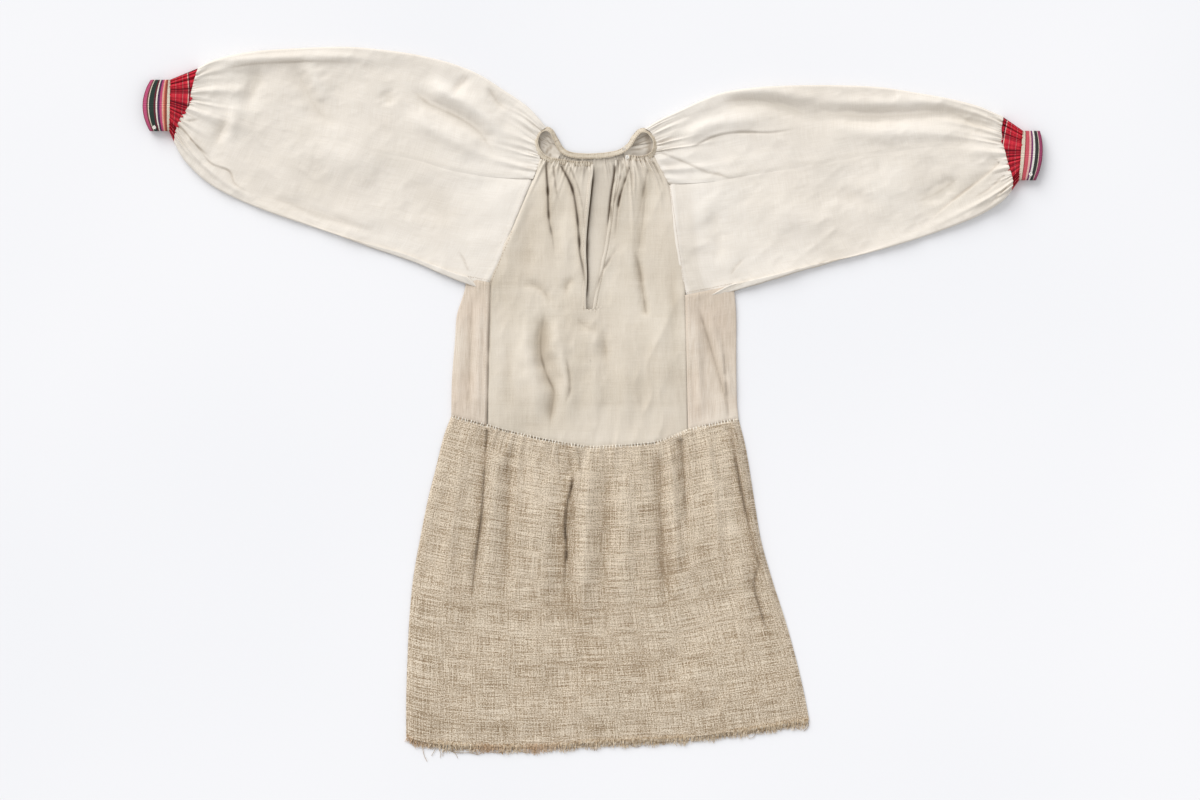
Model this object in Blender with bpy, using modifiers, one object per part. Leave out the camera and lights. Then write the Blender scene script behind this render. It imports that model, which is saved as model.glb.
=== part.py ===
# Linen shirt laid flat on a table, front up, sleeves spread to both sides, lower edge frayed.
# X runs across the shirt, Y from the hem to the neck and Z up from the table. The origin is
# under the middle of the shirt's box. Left and right are as seen from above.

import math
from collections import namedtuple

import bmesh
import bpy
import numpy

mm = 0.001

# Walls and the spaces between them
fineWall = 1.2 * mm
coarseWall = 1.6 * mm
cuffWall = 1.6 * mm
bandWall = 2.0 * mm
seamGap = 0.6 * mm
layerGap = 0.4 * mm
openSeamGap = 1.6 * mm        # the waist seam's open stitches

# Heights of the upper faces over the table
fineLie = 5.4 * mm
coarseLie = 5.6 * mm
hemLie = 4.2 * mm
cuffHeight = 16 * mm
sleeveRoll = 3.0 * mm
sideRoll = 1.6 * mm

# The middle of the shirt's box, measured in the tables' own frame
boxMiddleX = 2.665 * mm
boxMiddleY = 3.075 * mm

# Outlines, seams and edges. Columns: x, y in millimetres.
leftTop = ((-634, 546), (-606, 560), (-551, 572), (-471, 578), (-390, 580), (-309, 572), (-257, 562),
           (-218, 551), (-180, 535), (-141, 510), (-102, 483), (-76, 455))
leftBottom = ((-674, 425), (-658, 397), (-626, 365), (-587, 341), (-529, 316), (-451, 289), (-374, 264),
              (-309, 247), (-257, 227), (-225, 215), (-202, 208))
leftSeam = ((-649, 484), (-568, 458), (-471, 437), (-398, 425), (-357, 411), (-291, 399), (-233, 382),
            (-194, 374), (-152, 369), (-94, 366))
leftSeamBack = ((-649, 484), (-568, 458), (-471, 437), (-357, 411), (-233, 382), (-152, 369), (-72, 366))
rightTop = ((666, 467), (645, 476), (623, 485), (581, 496), (526, 506), (467, 515), (403, 518),
            (338, 518), (273, 515), (215, 507), (176, 493), (137, 475), (112, 463), (89, 451))
rightBottom = ((679, 345), (661, 327), (623, 305), (564, 282), (500, 261), (435, 243), (370, 229),
               (306, 213), (231, 196))
rightSeam = ((668, 413), (613, 418), (556, 418), (437, 403), (387, 393), (338, 385), (265, 374),
             (196, 362), (126, 358))
rightSeamBack = ((668, 413), (613, 418), (556, 418), (437, 403), (338, 385), (196, 362), (74, 358))
bodyLeft = ((-202, 206.6), (-205, 184), (-217, 146), (-220, 106), (-225, 41), (-226, -17))
bodyRight = ((231, 194.6), (235, 146), (235, 74), (236, 9), (239, -23))
waist = ((-226, -17), (-168, -32), (-94, -51), (-13, -66), (32, -66), (108, -59), (157, -40),
         (207, -28), (239, -23))
skirtLeft = ((-226, -17), (-238, -49), (-251, -101), (-264, -153), (-277, -218), (-288, -282),
             (-294, -347), (-297, -412), (-299, -476), (-299, -536))
skirtRight = ((239, -23), (251, -72), (264, -153), (275, -218), (293, -282), (314, -347), (332, -412),
              (344, -463), (353, -509))
hem = ((-299, -536), (-264, -545), (-196, -551), (-82, -552), (-11, -546), (66, -542), (144, -538),
       (222, -529), (299, -518), (353, -509))
panelTopLeft = ((-88, 388), (-66, 390), (-45, 387), (-20, 385), (3, 385))
panelTopRight = ((39, 388), (56, 394), (76, 393), (96, 395), (106, 391))
backTop = ((-46, 414), (-24, 408), (0, 407), (25, 408), (50, 413))

# Ends of the cloths. Columns: share of the way across the cloth, x, y in millimetres.
leftCuffUpper = ((0, -649, 484), (0.5, -644, 513), (1, -634, 546))
leftCuffLower = ((0, -649, 484), (0.3, -662, 466), (0.7, -670, 446), (1, -674, 425))
leftNeckFront = ((0, -94, 366), (0.2, -90, 389), (0.4, -96, 408), (0.6, -97, 428), (0.8, -90, 444),
                 (1, -76, 455))
leftNeckBack = ((0, -72, 366), (0.2, -46, 414), (0.4, -52, 426), (0.6, -57, 436), (0.8, -70, 446),
                (1, -76, 455))
leftArmFront = ((0, -94, 366), (0.7, -163, 200), (1, -202, 208))
leftArmBack = ((0, -72, 366), (0.7, -163, 200), (1, -202, 208))
rightCuffUpper = ((0, 668, 413), (0.5, 663, 443), (1, 666, 467))
rightCuffLower = ((0, 668, 413), (0.3, 674, 389), (0.7, 681, 365), (1, 679, 345))
rightNeckFront = ((0, 126, 358), (0.2, 109, 393), (0.4, 112, 412), (0.6, 112, 428), (0.8, 103, 445),
                  (1, 89, 451))
rightNeckBack = ((0, 74, 358), (0.2, 50, 413), (0.4, 58, 423), (0.6, 65, 436), (0.8, 79, 444),
                 (1, 89, 451))
rightArmFront = ((0, 126, 358), (0.7, 152, 180), (1, 231, 196))
rightArmBack = ((0, 74, 358), (0.7, 152, 180), (1, 231, 196))

# Long edges of the body. Columns: share of the way down, x, y in millimetres.
panelLeft = ((0, -88, 388), (0.1, -94, 366), (0.3, -127, 286.6), (0.55, -163, 200), (1, -168, -32))
slitLeft = ((0, 3, 385), (0.1, -2, 350), (0.3, -7, 276), (0.4, -6, 225), (0.55, -3.5, 152), (1, 2, -66))
slitRight = ((0, 39, 388), (0.1, 36, 352), (0.3, 29, 282), (0.4, 16, 226), (0.475, 9, 189), (0.55, -3.5, 152),
             (1, 2, -66))
panelRight = ((0, 106, 391), (0.1, 126, 358), (0.3, 137, 282), (0.55, 152, 180), (1, 157, -40))
sideSeamLeft = ((0, -163, 198.6), (1, -168, -32))
sideSeamRight = ((0, 152, 178.6), (1, 157, -40))
sideTopLeft = ((0, -163, 198.6), (1, -202, 206.6))
sideTopRight = ((0, 152, 178.6), (1, 231, 194.6))
backLeft = ((0, -46, 414), (0.5, -163, 200), (1, -168, -32))
backRight = ((0, 50, 413), (0.5, 152, 180), (1, 157, -40))

# Middle line of the neckband, from its left front end round to the right one.
# x, y, z in millimetres, and lean in degrees from lying flat to standing on its edge.
BandPoint = namedtuple("BandPoint", "x y z lean")
neckPath = (
    BandPoint(3, 390.5, 7.8, 0), BandPoint(-24, 390.5, 7.8, 0), BandPoint(-47, 393.5, 7.8, 0),
    BandPoint(-68, 397.5, 7.6, 10), BandPoint(-82, 407, 7.4, 45), BandPoint(-89, 425, 7.2, 70),
    BandPoint(-84, 441, 7.2, 70), BandPoint(-75, 447, 7.2, 65), BandPoint(-65, 444, 7.0, 60),
    BandPoint(-57, 430, 6.4, 50), BandPoint(-46, 412, 5.0, 14), BandPoint(-24, 404, 4.4, 4),
    BandPoint(15, 404, 4.4, 4), BandPoint(44, 409, 5.0, 14), BandPoint(61, 420, 6.4, 50),
    BandPoint(70, 434, 6.9, 60), BandPoint(80, 444, 7.2, 65), BandPoint(92, 443, 7.2, 70),
    BandPoint(103, 429, 7.2, 70), BandPoint(103, 413, 7.4, 60), BandPoint(94, 403, 7.6, 25),
    BandPoint(76, 399, 7.8, 0), BandPoint(57, 401, 7.8, 0))
bandWidth = 8.5 * mm
bandColumns = 52

# Grid columns of each half of the front panel, and of the back panel
halfColumns = 9
backColumns = 10

# Main folds of the upper cloths. Each runs through three points; spread is how far it reaches to
# the side and lift how high it stands, below zero for a trough. All in millimetres.
Fold = namedtuple("Fold", "x1 y1 x2 y2 x3 y3 spread lift")
folds = (
    Fold(-626, 544, -480, 562, -310, 556, 13, 2.5),
    Fold(-484, 560, -430, 480, -384, 455, 17, -2.0),
    Fold(-294, 513, -215, 463, -150, 397, 15, -2.4),
    Fold(-262, 522, -190, 482, -135, 425, 15, 3.0),
    Fold(-305, 468, -230, 436, -160, 385, 16, 2.6),
    Fold(-655, 430, -600, 370, -530, 336, 16, 3.4),
    Fold(-534, 553, -553, 493, -558, 470, 13, -1.8),
    Fold(-500, 430, -350, 395, -250, 330, 50, 2.2),
    Fold(207, 489, 380, 468, 640, 440, 17, -2.2),
    Fold(200, 502, 400, 500, 600, 478, 14, 2.4),
    Fold(220, 462, 400, 436, 590, 412, 26, 2.4),
    Fold(115, 408, 207, 376, 265, 374, 12, -1.5),
    Fold(655, 392, 570, 322, 530, 290, 15, -2.0),
    Fold(640, 345, 590, 315, 530, 296, 15, 3.0),
    Fold(250, 320, 400, 300, 520, 325, 50, 2.0),
    Fold(-56, 384, -50, 300, -46, 220, 10, 2.6),
    Fold(-28, 382, -20, 290, -14, 190, 10, 3.6),
    Fold(56, 386, 44, 300, 22, 225, 11, 3.6),
    Fold(80, 384, 70, 300, 76, 240, 11, 2.6),
    Fold(92, 378, 78, 310, 92, 150, 12, -1.8),
    Fold(-70, 160, -80, 100, -66, -40, 14, -2.0),
    Fold(-46, 150, -54, 80, -42, -30, 15, 2.0),
    Fold(-104, 150, -110, 80, -96, -30, 18, 1.8),
    Fold(18, 130, 25, 82, 28, 30, 12, -1.6),
    Fold(-29, -84, -42, -198, -46, -272, 13, -2.6),
    Fold(-46, -272, -20, -360, 15, -443, 22, -1.6),
    Fold(-4, -104, -14, -200, -14, -290, 17, 3.6),
    Fold(-66, -104, -76, -200, -74, -290, 18, 2.6),
    Fold(212, -36, 253, -219, 272, -376, 11, -2.4),
    Fold(188, -64, 230, -219, 250, -376, 14, 3.4),
    Fold(-168, -50, -176, -116, -194, -247, 11, -2.0),
    Fold(-146, -70, -154, -130, -168, -260, 15, 2.6),
    Fold(138, -74, 148, -160, 150, -250, 14, 2.4),
    Fold(120, -210, 130, -290, 140, -350, 16, -1.6))

# Frayed lower edge
fringeStrip = 3.0 * mm
fringeReach = 9.0 * mm
looseReach = 27.0 * mm
looseFrom = -262 * mm
looseTo = -196 * mm


def clearScene():
    for item in list(bpy.data.objects):
        bpy.data.objects.remove(item)


def makeMaterial(name, colour, roughness):
    material = bpy.data.materials.new(name)
    material.use_nodes = True
    shader = material.node_tree.nodes["Principled BSDF"]
    shader.inputs["Base Color"].default_value = (*colour, 1)
    shader.inputs["Roughness"].default_value = roughness
    shader.inputs["Metallic"].default_value = 0.0
    return material


# Curves: each returns a function from 0..1 to a point in metres

def smoothCurve(rows):
    # A round curve through the rows, measured by its length.
    stepsPerSpan = 12
    points = numpy.array(rows, float)[:, :2] * mm
    padded = numpy.vstack([2 * points[0] - points[1], points, 2 * points[-1] - points[-2]])
    dense = []
    for i in range(len(points) - 1):
        before, start, end, after = padded[i:i + 4]
        for step in range(stepsPerSpan):
            t = step / stepsPerSpan
            pull = (end - before) * t + (2 * before - 5 * start + 4 * end - after) * t * t
            pull = pull + (3 * start - before - 3 * end + after) * t ** 3
            dense.append(start + 0.5 * pull)
    dense.append(points[-1])
    dense = numpy.array(dense)
    lengths = numpy.concatenate([[0], numpy.cumsum(numpy.linalg.norm(numpy.diff(dense, axis=0), axis=1))])
    shares = lengths / lengths[-1]
    return lambda s: numpy.array([numpy.interp(s, shares, dense[:, axis]) for axis in (0, 1)])


def cornerCurve(rows):
    # Straight stretches between rows of share, x, y.
    table = numpy.array(rows, float)
    return lambda s: numpy.array([numpy.interp(s, table[:, 0], table[:, axis]) for axis in (1, 2)]) * mm


def shareAt(curve, x):
    # The share at which a curve that runs along X passes x.
    shares = numpy.linspace(0, 1, 2001)
    across = [curve(s)[0] for s in shares]
    return shares[int(numpy.argmin(numpy.abs(numpy.array(across) - x)))]


def stretch(curve, first, last):
    return lambda s: curve(first + (last - first) * s)


def patch(start, end, near, far):
    # Fills four edges: start and end run with u, near and far run with w.
    def at(u, w):
        alongU = (1 - w) * start(u) + w * end(u)
        alongW = (1 - u) * near(w) + u * far(w)
        corners = (1 - u) * ((1 - w) * start(0) + w * end(0)) + u * ((1 - w) * start(1) + w * end(1))
        return alongU + alongW - corners
    return at


# Heights

def foldLift(x, y, fold):
    # How far one fold raises the cloth at x, y in millimetres.
    corners = ((fold.x1, fold.y1), (fold.x2, fold.y2), (fold.x3, fold.y3))
    best = None
    for i in range(2):
        ax, ay = corners[i]
        bx, by = corners[i + 1]
        lengthSquared = (bx - ax) ** 2 + (by - ay) ** 2
        t = ((x - ax) * (bx - ax) + (y - ay) * (by - ay)) / lengthSquared
        t = min(1, max(0, t))
        distance = math.hypot(x - ax - t * (bx - ax), y - ay - t * (by - ay))
        if best is None or distance < best[0]:
            best = (distance, (i + t) / 2)
    taper = 0.35 + 0.65 * math.sin(math.pi * best[1])
    return fold.lift * taper * math.exp(-(best[0] / fold.spread) ** 2)


def topHeight(point, lie, wall, underWall):
    # Upper face of a front cloth: its lie plus the folds, never down on the cloth beneath.
    lift = sum(foldLift(point[0] / mm, point[1] / mm, fold) for fold in folds)
    return max(lie + lift * mm, underWall + layerGap + wall)


# Cloths

def finishCloth(name, cloth, material, wall, outside):
    # Makes the object and gives the cloth its thickness on the side away from its outside.
    cloth.normal_update()
    if outside < 0:
        bmesh.ops.reverse_faces(cloth, faces=cloth.faces)
    mesh = bpy.data.meshes.new(name)
    cloth.to_mesh(mesh)
    cloth.free()
    mesh.shade_smooth()
    mesh.materials.append(material)
    item = bpy.data.objects.new(name, mesh)
    collection.objects.link(item)
    solidify = item.modifiers.new("Wall", "SOLIDIFY")
    solidify.thickness = wall
    solidify.offset = -1


def addCloth(name, material, columns, rows, place, wall, facing, welded=False):
    # A grid whose points are placed by a function. Its first row of faces looks up where facing
    # is 1 and down where it is -1.
    cloth = bmesh.new()
    bmesh.ops.create_grid(cloth, x_segments=len(columns) - 1, y_segments=len(rows) - 1, size=1)
    for vertex in cloth.verts:
        column = columns[round((vertex.co.x + 1) / 2 * (len(columns) - 1))]
        row = rows[round((vertex.co.y + 1) / 2 * (len(rows) - 1))]
        vertex.co = place(column, row)
    if welded:
        bmesh.ops.remove_doubles(cloth, verts=cloth.verts, dist=0.01 * mm)
    cloth.normal_update()
    firstFaces = [face for face in cloth.faces if face.index < len(columns) - 1]
    finishCloth(name, cloth, material, wall, facing * sum(face.normal.z for face in firstFaces))


def evenShares(count, first=0.0, last=1.0):
    return [first + (last - first) * i / count for i in range(count + 1)]


def trimmed(shares, length, gap=seamGap):
    # Pulls the first and last share in by half a seam gap.
    pull = gap / 2 / length
    return [min(1 - pull, max(pull, share)) for share in shares]


def rolledCloth(name, material, front, back, columns, backRows, length, height, roll, width):
    # A cloth that lies on the front, turns round a folded edge and goes on beneath.
    # front and back are patches with w = 0 on the seam and w = 1 on the folded edge.
    frontRows = [("front", i / 10) for i in range(10)]
    edgeRows = [("edge", math.radians(angle)) for angle in (90, 45, 0, -45, -90)]
    lowRows = [("back", w) for w in backRows]
    rows = frontRows + edgeRows + lowRows
    seamShare = seamGap / 2 / width

    def edgeSizes(u):
        across = float(numpy.linalg.norm(front(u, 1) - front(u, 0)))
        estimate = height(u, front(u, 0.97), 9)
        turn = min(0.5 * (estimate + roll), 0.04 * across + 2 * mm)
        inset = turn / across
        return inset, height(u, front(u, 1 - inset), 9) + roll, across

    def place(u, row):
        kind, value = row
        inset, edgeHeight, across = edgeSizes(u)
        if kind == "edge":
            spot = front(u, 1 - inset * (1 - math.cos(value)))
            return (spot[0], spot[1], edgeHeight / 2 * (1 + math.sin(value)))
        w = max(value, seamShare)
        if kind == "back":
            spot = back(u, w)
            return (spot[0], spot[1], 0)
        spot = front(u, w)
        rise = roll * math.exp(-((1 - inset - w) * across / (24 * mm)) ** 2)
        return (spot[0], spot[1], height(u, spot, round(value * 10)) + rise)

    addCloth(name, material, trimmed(columns, length), rows, place, fineWall, 1)


def sleeveHeight(length):
    # The sleeve swells towards the cuff and the neck, with gathers running out from both.
    cuffRise = cuffHeight - fineLie - 2.5 * mm

    def height(u, spot, row):
        fromCuff = u * length
        fromNeck = (1 - u) * length
        side = 1 if row % 2 else -1
        gathers = side * 1.3 * mm * math.exp(-fromCuff / (60 * mm))
        gathers = gathers + side * 0.8 * mm * math.exp(-fromNeck / (50 * mm))
        swell = cuffRise * math.exp(-(fromCuff / (75 * mm)) ** 2)
        swell = swell + 2.4 * mm * math.exp(-(fromNeck / (60 * mm)) ** 2)
        return topHeight(spot, fineLie, fineWall, fineWall) + swell + gathers
    return height


def buildSleeve(side, seam, seamBack, top, bottom, upperCuff, lowerCuff, neck, neckBack, arm, armBack):
    seamCurve = smoothCurve(seam)
    backSeamCurve = smoothCurve(seamBack)
    topCurve = smoothCurve(top)
    bottomCurve = smoothCurve(bottom)
    length = 560 * mm
    width = 110 * mm
    columns = [share ** 1.15 for share in evenShares(18)]
    height = sleeveHeight(length)
    upperFront = patch(seamCurve, topCurve, cornerCurve(upperCuff), cornerCurve(neck))
    upperBack = patch(backSeamCurve, topCurve, cornerCurve(upperCuff), cornerCurve(neckBack))
    lowerFront = patch(seamCurve, bottomCurve, cornerCurve(lowerCuff), cornerCurve(arm))
    lowerBack = patch(backSeamCurve, bottomCurve, cornerCurve(lowerCuff), cornerCurve(armBack))
    rolledCloth("sleeve_" + side + "_upper", sleeveLinen, upperFront, upperBack, columns,
                (0.8, 0.6, 0.4, 0.2, 0), length, height, sleeveRoll, width)
    rolledCloth("sleeve_" + side + "_lower", sleeveLinen, lowerFront, lowerBack, columns,
                (0.85, 0.7, 0.35, 0), length, height, sleeveRoll, width)


def buildSidePanel(name, seam, topEdge, outline, waistShareSeam, waistShareEdge):
    front = patch(cornerCurve(seam), smoothCurve(outline), cornerCurve(topEdge),
                  stretch(waistCurve, waistShareSeam, waistShareEdge))
    length = 230 * mm
    width = 60 * mm
    frontRows = [("front", i / 3) for i in range(3)]
    edgeRows = [("edge", math.radians(angle)) for angle in (90, 30, -30, -90)]
    rows = frontRows + edgeRows + [("back", 0.6), ("back", 0.0)]
    turn = (fineLie + sideRoll) / 2

    def place(u, row):
        kind, value = row
        across = float(numpy.linalg.norm(front(u, 1) - front(u, 0)))
        inset = turn / across
        w = max(value, seamGap / 2 / width)
        if kind == "back":
            spot = front(u, w)
            return (spot[0], spot[1], 0)
        if kind == "edge":
            spot = front(u, 1 - inset * (1 - math.cos(value)))
            return (spot[0], spot[1], turn * (1 + math.sin(value)))
        spot = front(u, w)
        return (spot[0], spot[1], topHeight(spot, fineLie, fineWall, fineWall))

    addCloth(name, bodyLinen, trimmed(evenShares(8), length), rows, place, fineWall, 1)


def buildFrontPanel():
    # Two halves that part at the slit and are one cloth below it.
    leftWaist = stretch(waistCurve, seamShareLeft, slitShare)
    rightWaist = stretch(waistCurve, slitShare, seamShareRight)
    leftHalf = patch(smoothCurve(panelTopLeft), leftWaist, cornerCurve(panelLeft), cornerCurve(slitLeft))
    rightHalf = patch(smoothCurve(panelTopRight), rightWaist, cornerCurve(slitRight), cornerCurve(panelRight))
    panelLength = 420 * mm
    panelWidth = 170 * mm
    down = trimmed((0, 0.05, 0.1, 0.167, 0.233, 0.3, 0.35, 0.4, 0.475, 0.55, 0.62, 0.69, 0.76, 0.84, 0.92, 1),
                   panelLength)
    sideShare = seamGap / 2 / panelWidth
    slitEndY = 153 * mm

    def place(spot, column, share):
        side = 1 if column % 2 else -1
        gathers = side * 1.1 * mm * math.exp(-share * panelLength / (45 * mm))
        swell = 2.0 * mm * math.exp(-(share * panelLength / (60 * mm)) ** 2)
        return (spot[0], spot[1], topHeight(spot, fineLie, fineWall, fineWall) + gathers + swell)

    cloth = bmesh.new()
    for half in (leftHalf, rightHalf):
        made = bmesh.ops.create_grid(cloth, x_segments=halfColumns, y_segments=len(down) - 1, size=1)
        for vertex in made["verts"]:
            column = round((vertex.co.x + 1) / 2 * halfColumns)
            share = down[round((vertex.co.y + 1) / 2 * (len(down) - 1))]
            across = column / halfColumns
            if half is leftHalf:
                across = max(across, sideShare)
            else:
                across = min(across, 1 - sideShare)
            spot = half(across, share)
            column = column if half is leftHalf else column + halfColumns
            vertex.co = place(spot, column, share)
    joined = [vertex for vertex in cloth.verts if vertex.co.y <= slitEndY]
    bmesh.ops.remove_doubles(cloth, verts=joined, dist=0.05 * mm)
    cloth.normal_update()
    finishCloth("front_panel", cloth, bodyLinen, fineWall, sum(face.normal.z for face in cloth.faces))


def buildBackPanel():
    bottom = stretch(waistCurve, seamShareLeft, seamShareRight)
    shape = patch(smoothCurve(backTop), bottom, cornerCurve(backLeft), cornerCurve(backRight))
    columns = trimmed(evenShares(backColumns), 200 * mm)
    rows = trimmed(evenShares(8), 440 * mm)

    def place(u, w):
        spot = shape(u, w)
        return (spot[0], spot[1], 0)

    addCloth("back_panel", bodyLinen, columns, rows, place, fineWall, -1)


def buildSkirt():
    peek = 2.5 * mm
    leftCurve = smoothCurve(skirtLeft)
    rightCurve = smoothCurve(skirtRight)
    hemCurve = smoothCurve(hem)
    shape = patch(waistCurve, hemCurve, leftCurve, rightCurve)
    skirtLength = 520 * mm
    skirtWidth = 600 * mm

    def placeBack(u, w):
        spot = shape(u, w)
        return (spot[0], spot[1], 0)

    def placeFront(u, w):
        spot = shape(u, w)
        spot = spot - numpy.array((peek * u, 0))
        fromSide = min(u, 1 - u) * skirtWidth
        fromHem = (1 - w) * skirtLength
        lie = coarseLie - (coarseLie - hemLie) * math.exp(-(fromSide / (14 * mm)) ** 2)
        lie = lie - (coarseLie - hemLie) * math.exp(-(fromHem / (40 * mm)) ** 2)
        height = topHeight(spot, lie, coarseWall, coarseWall)
        return (spot[0], spot[1], height)

    # Its columns start where those of the panels above it end.
    leftColumns = evenShares(3, 0, seamShareLeft)[:-1]
    rightColumns = evenShares(3, seamShareRight, 1)[1:]
    frontColumns = evenShares(halfColumns, seamShareLeft, slitShare)[:-1]
    frontColumns = frontColumns + evenShares(halfColumns, slitShare, seamShareRight)
    lowColumns = evenShares(backColumns, seamShareLeft, seamShareRight)
    addCloth("skirt_front", skirtLinen, leftColumns + frontColumns + rightColumns,
             trimmed(evenShares(13), skirtLength, openSeamGap), placeFront, coarseWall, 1)
    addCloth("skirt_back", skirtLinen, leftColumns + lowColumns + rightColumns,
             trimmed(evenShares(7), skirtLength), placeBack, coarseWall, -1)


def buildFringe(name, count, low, thick, strandHeight, loose):
    # A narrow strip along the hem; each cell of its lower edge is drawn out to one strand.
    hemCurve = smoothCurve(hem)
    mesh = bpy.data.meshes.new(name)
    strip = bmesh.new()
    bmesh.ops.create_cube(strip, size=1)
    lengthEdges = [edge for edge in strip.edges if abs(edge.verts[0].co.x - edge.verts[1].co.x) > 0.5]
    bmesh.ops.subdivide_edges(strip, edges=lengthEdges, cuts=count - 1)
    for vertex in strip.verts:
        share = min(0.998, max(0.002, vertex.co.x + 0.5))
        spot = hemCurve(share)
        out = seamGap if vertex.co.y > 0 else seamGap + fringeStrip
        vertex.co = (spot[0], spot[1] - out, low + thick * (vertex.co.z + 0.5))
    strip.normal_update()
    outer = [face for face in strip.faces if face.normal.y < -0.5]
    drawn = bmesh.ops.extrude_discrete_faces(strip, faces=outer)["faces"]
    drawn.sort(key=lambda face: face.calc_center_median().x)
    for i, face in enumerate(drawn):
        middle = face.calc_center_median()
        sway = math.sin(i * 2.4) * 2.2 * mm
        reach = fringeReach * (0.62 + 0.38 * math.sin(i * 1.7 + 0.6) ** 2)
        if loose and looseFrom < middle.x < looseTo and i % 3 == 0:
            reach = looseReach * (0.75 + 0.25 * math.sin(i * 2.1))
        for vertex in face.verts:
            half = (vertex.co.x - middle.x) * 0.22
            drop = strandHeight + (vertex.co.z - low) * 0.6
            vertex.co = (middle.x + half + sway, middle.y - reach, drop)
    strip.normal_update()
    strip.to_mesh(mesh)
    strip.free()
    item = bpy.data.objects.new(name, mesh)
    mesh.materials.append(skirtLinen)
    collection.objects.link(item)


# Tubes at the wrists

def ovalPoint(angle):
    # A flattened round section: share across from -1 to 1 and share of its height from 0 to 1.
    across = math.copysign(abs(math.cos(angle)) ** 0.8, math.cos(angle))
    rise = math.sin(angle)
    if rise >= 0:
        return across, 0.5 + 0.5 * rise ** 0.6
    return across, 0.5 + 0.5 * max(-1, 1.35 * rise)


CuffSize = namedtuple("CuffSize", "innerX outerX middleY halfWidth bulge lean")
leftCuffSize = CuffSize(-680, -712, 485, 41.5, 12, 0.02)
rightCuffSize = CuffSize(694, 722, 404, 40, 7, 0.08)


def cuffSpot(size, angle, along):
    # A point of the cuff's outer face; along runs from the sleeve to the hand.
    across, rise = ovalPoint(angle)
    outward = math.copysign(1, size.outerX)
    x = size.innerX + (size.outerX - size.innerX) * along
    x = x + outward * size.bulge * along * (1 - abs(across) ** 2)
    x = x + size.lean * size.halfWidth * across
    swell = 1 + 0.05 * math.sin(math.pi * along)
    return (x * mm, (size.middleY + size.halfWidth * across) * mm, cuffHeight * rise * swell)


def buildCuff(name, size):
    around = [2 * math.pi * i / 28 for i in range(29)]
    along = (0.0, 0.5, 1.0)
    addCloth(name, cuffRibbon, around, along, lambda angle, v: cuffSpot(size, angle, v), cuffWall,
             1, welded=True)


def buildRedBand(name, size, upperEnd, lowerEnd):
    # Pleated band between the cuff and the gathered end of the sleeve.
    spots = [row[1:] for row in lowerEnd[:0:-1] + upperEnd]
    edge = cornerCurve([(i / (len(spots) - 1), *spot) for i, spot in enumerate(spots)])
    pleatColumns = 36
    pleatDepth = 1.1 * mm
    sleeveEndHeight = cuffHeight - 1 * mm
    around = [(2 * math.pi * i / pleatColumns, i) for i in range(pleatColumns + 1)]
    along = (0.0, 0.5, 1.0)
    outward = math.copysign(1, size.outerX)

    def place(column, v):
        angle, index = column
        across, rise = ovalPoint(angle)
        inner = numpy.array(cuffSpot(size, angle, 0)[:2])
        inner[0] = inner[0] - outward * seamGap
        outer = edge((across + 1) / 2)
        outer[0] = outer[0] + outward * seamGap
        spot = inner + (outer - inner) * v
        pleat = 0
        if math.sin(angle) > 0.15:
            side = 1 if index % 2 else -1
            pleat = side * pleatDepth * math.sin(math.pi * min(1, v + 0.35))
        height = cuffHeight + (sleeveEndHeight - cuffHeight) * v
        return (spot[0], spot[1], max(0, height * rise + pleat))

    addCloth(name, redLinen, around, along, place, fineWall, 1, welded=True)


def buildNeckband():
    path = numpy.array(neckPath, float)
    spans = numpy.linalg.norm(numpy.diff(path[:, :2], axis=0), axis=1)
    shares = numpy.concatenate([[0], numpy.cumsum(spans)]) / spans.sum()
    middle = smoothCurve([(row[0], row[1]) for row in path])

    def place(u, w):
        spot = middle(u)
        step = middle(min(1, u + 0.004)) - middle(max(0, u - 0.004))
        step = step / numpy.linalg.norm(step)
        outward = numpy.array((-step[1], step[0]))
        lean = math.radians(numpy.interp(u, shares, path[:, 3]))
        height = numpy.interp(u, shares, path[:, 2]) * mm
        reach = (w - 0.5) * bandWidth
        flat = outward * reach * math.cos(lean)
        return (spot[0] + flat[0], spot[1] + flat[1], height - reach * math.sin(lean))

    addCloth("neckband", bodyLinen, evenShares(bandColumns), (0, 0.5, 1), place, bandWall, 1)


def addKnot(name, centre, radius, flatness):
    bpy.ops.mesh.primitive_uv_sphere_add(segments=10, ring_count=6, radius=radius, location=centre)
    knot = bpy.context.object
    knot.name = name
    knot.data.name = name
    knot.scale = (1, 1, flatness)
    knot.data.materials.append(threadWhite)
    knot.data.shade_smooth()
    for owner in knot.users_collection:
        owner.objects.unlink(knot)
    collection.objects.link(knot)


clearScene()
collection = bpy.data.collections.new("LinenShirt")
bpy.context.scene.collection.children.link(collection)
sleeveLinen = makeMaterial("sleeve_linen", (0.80, 0.74, 0.66), 0.9)
bodyLinen = makeMaterial("body_linen", (0.68, 0.61, 0.51), 0.9)
skirtLinen = makeMaterial("skirt_linen", (0.53, 0.43, 0.31), 0.95)
redLinen = makeMaterial("red_band", (0.45, 0.02, 0.04), 0.85)
cuffRibbon = makeMaterial("cuff_ribbon", (0.18, 0.05, 0.08), 0.7)
threadWhite = makeMaterial("white_thread", (0.85, 0.83, 0.78), 0.8)

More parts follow.
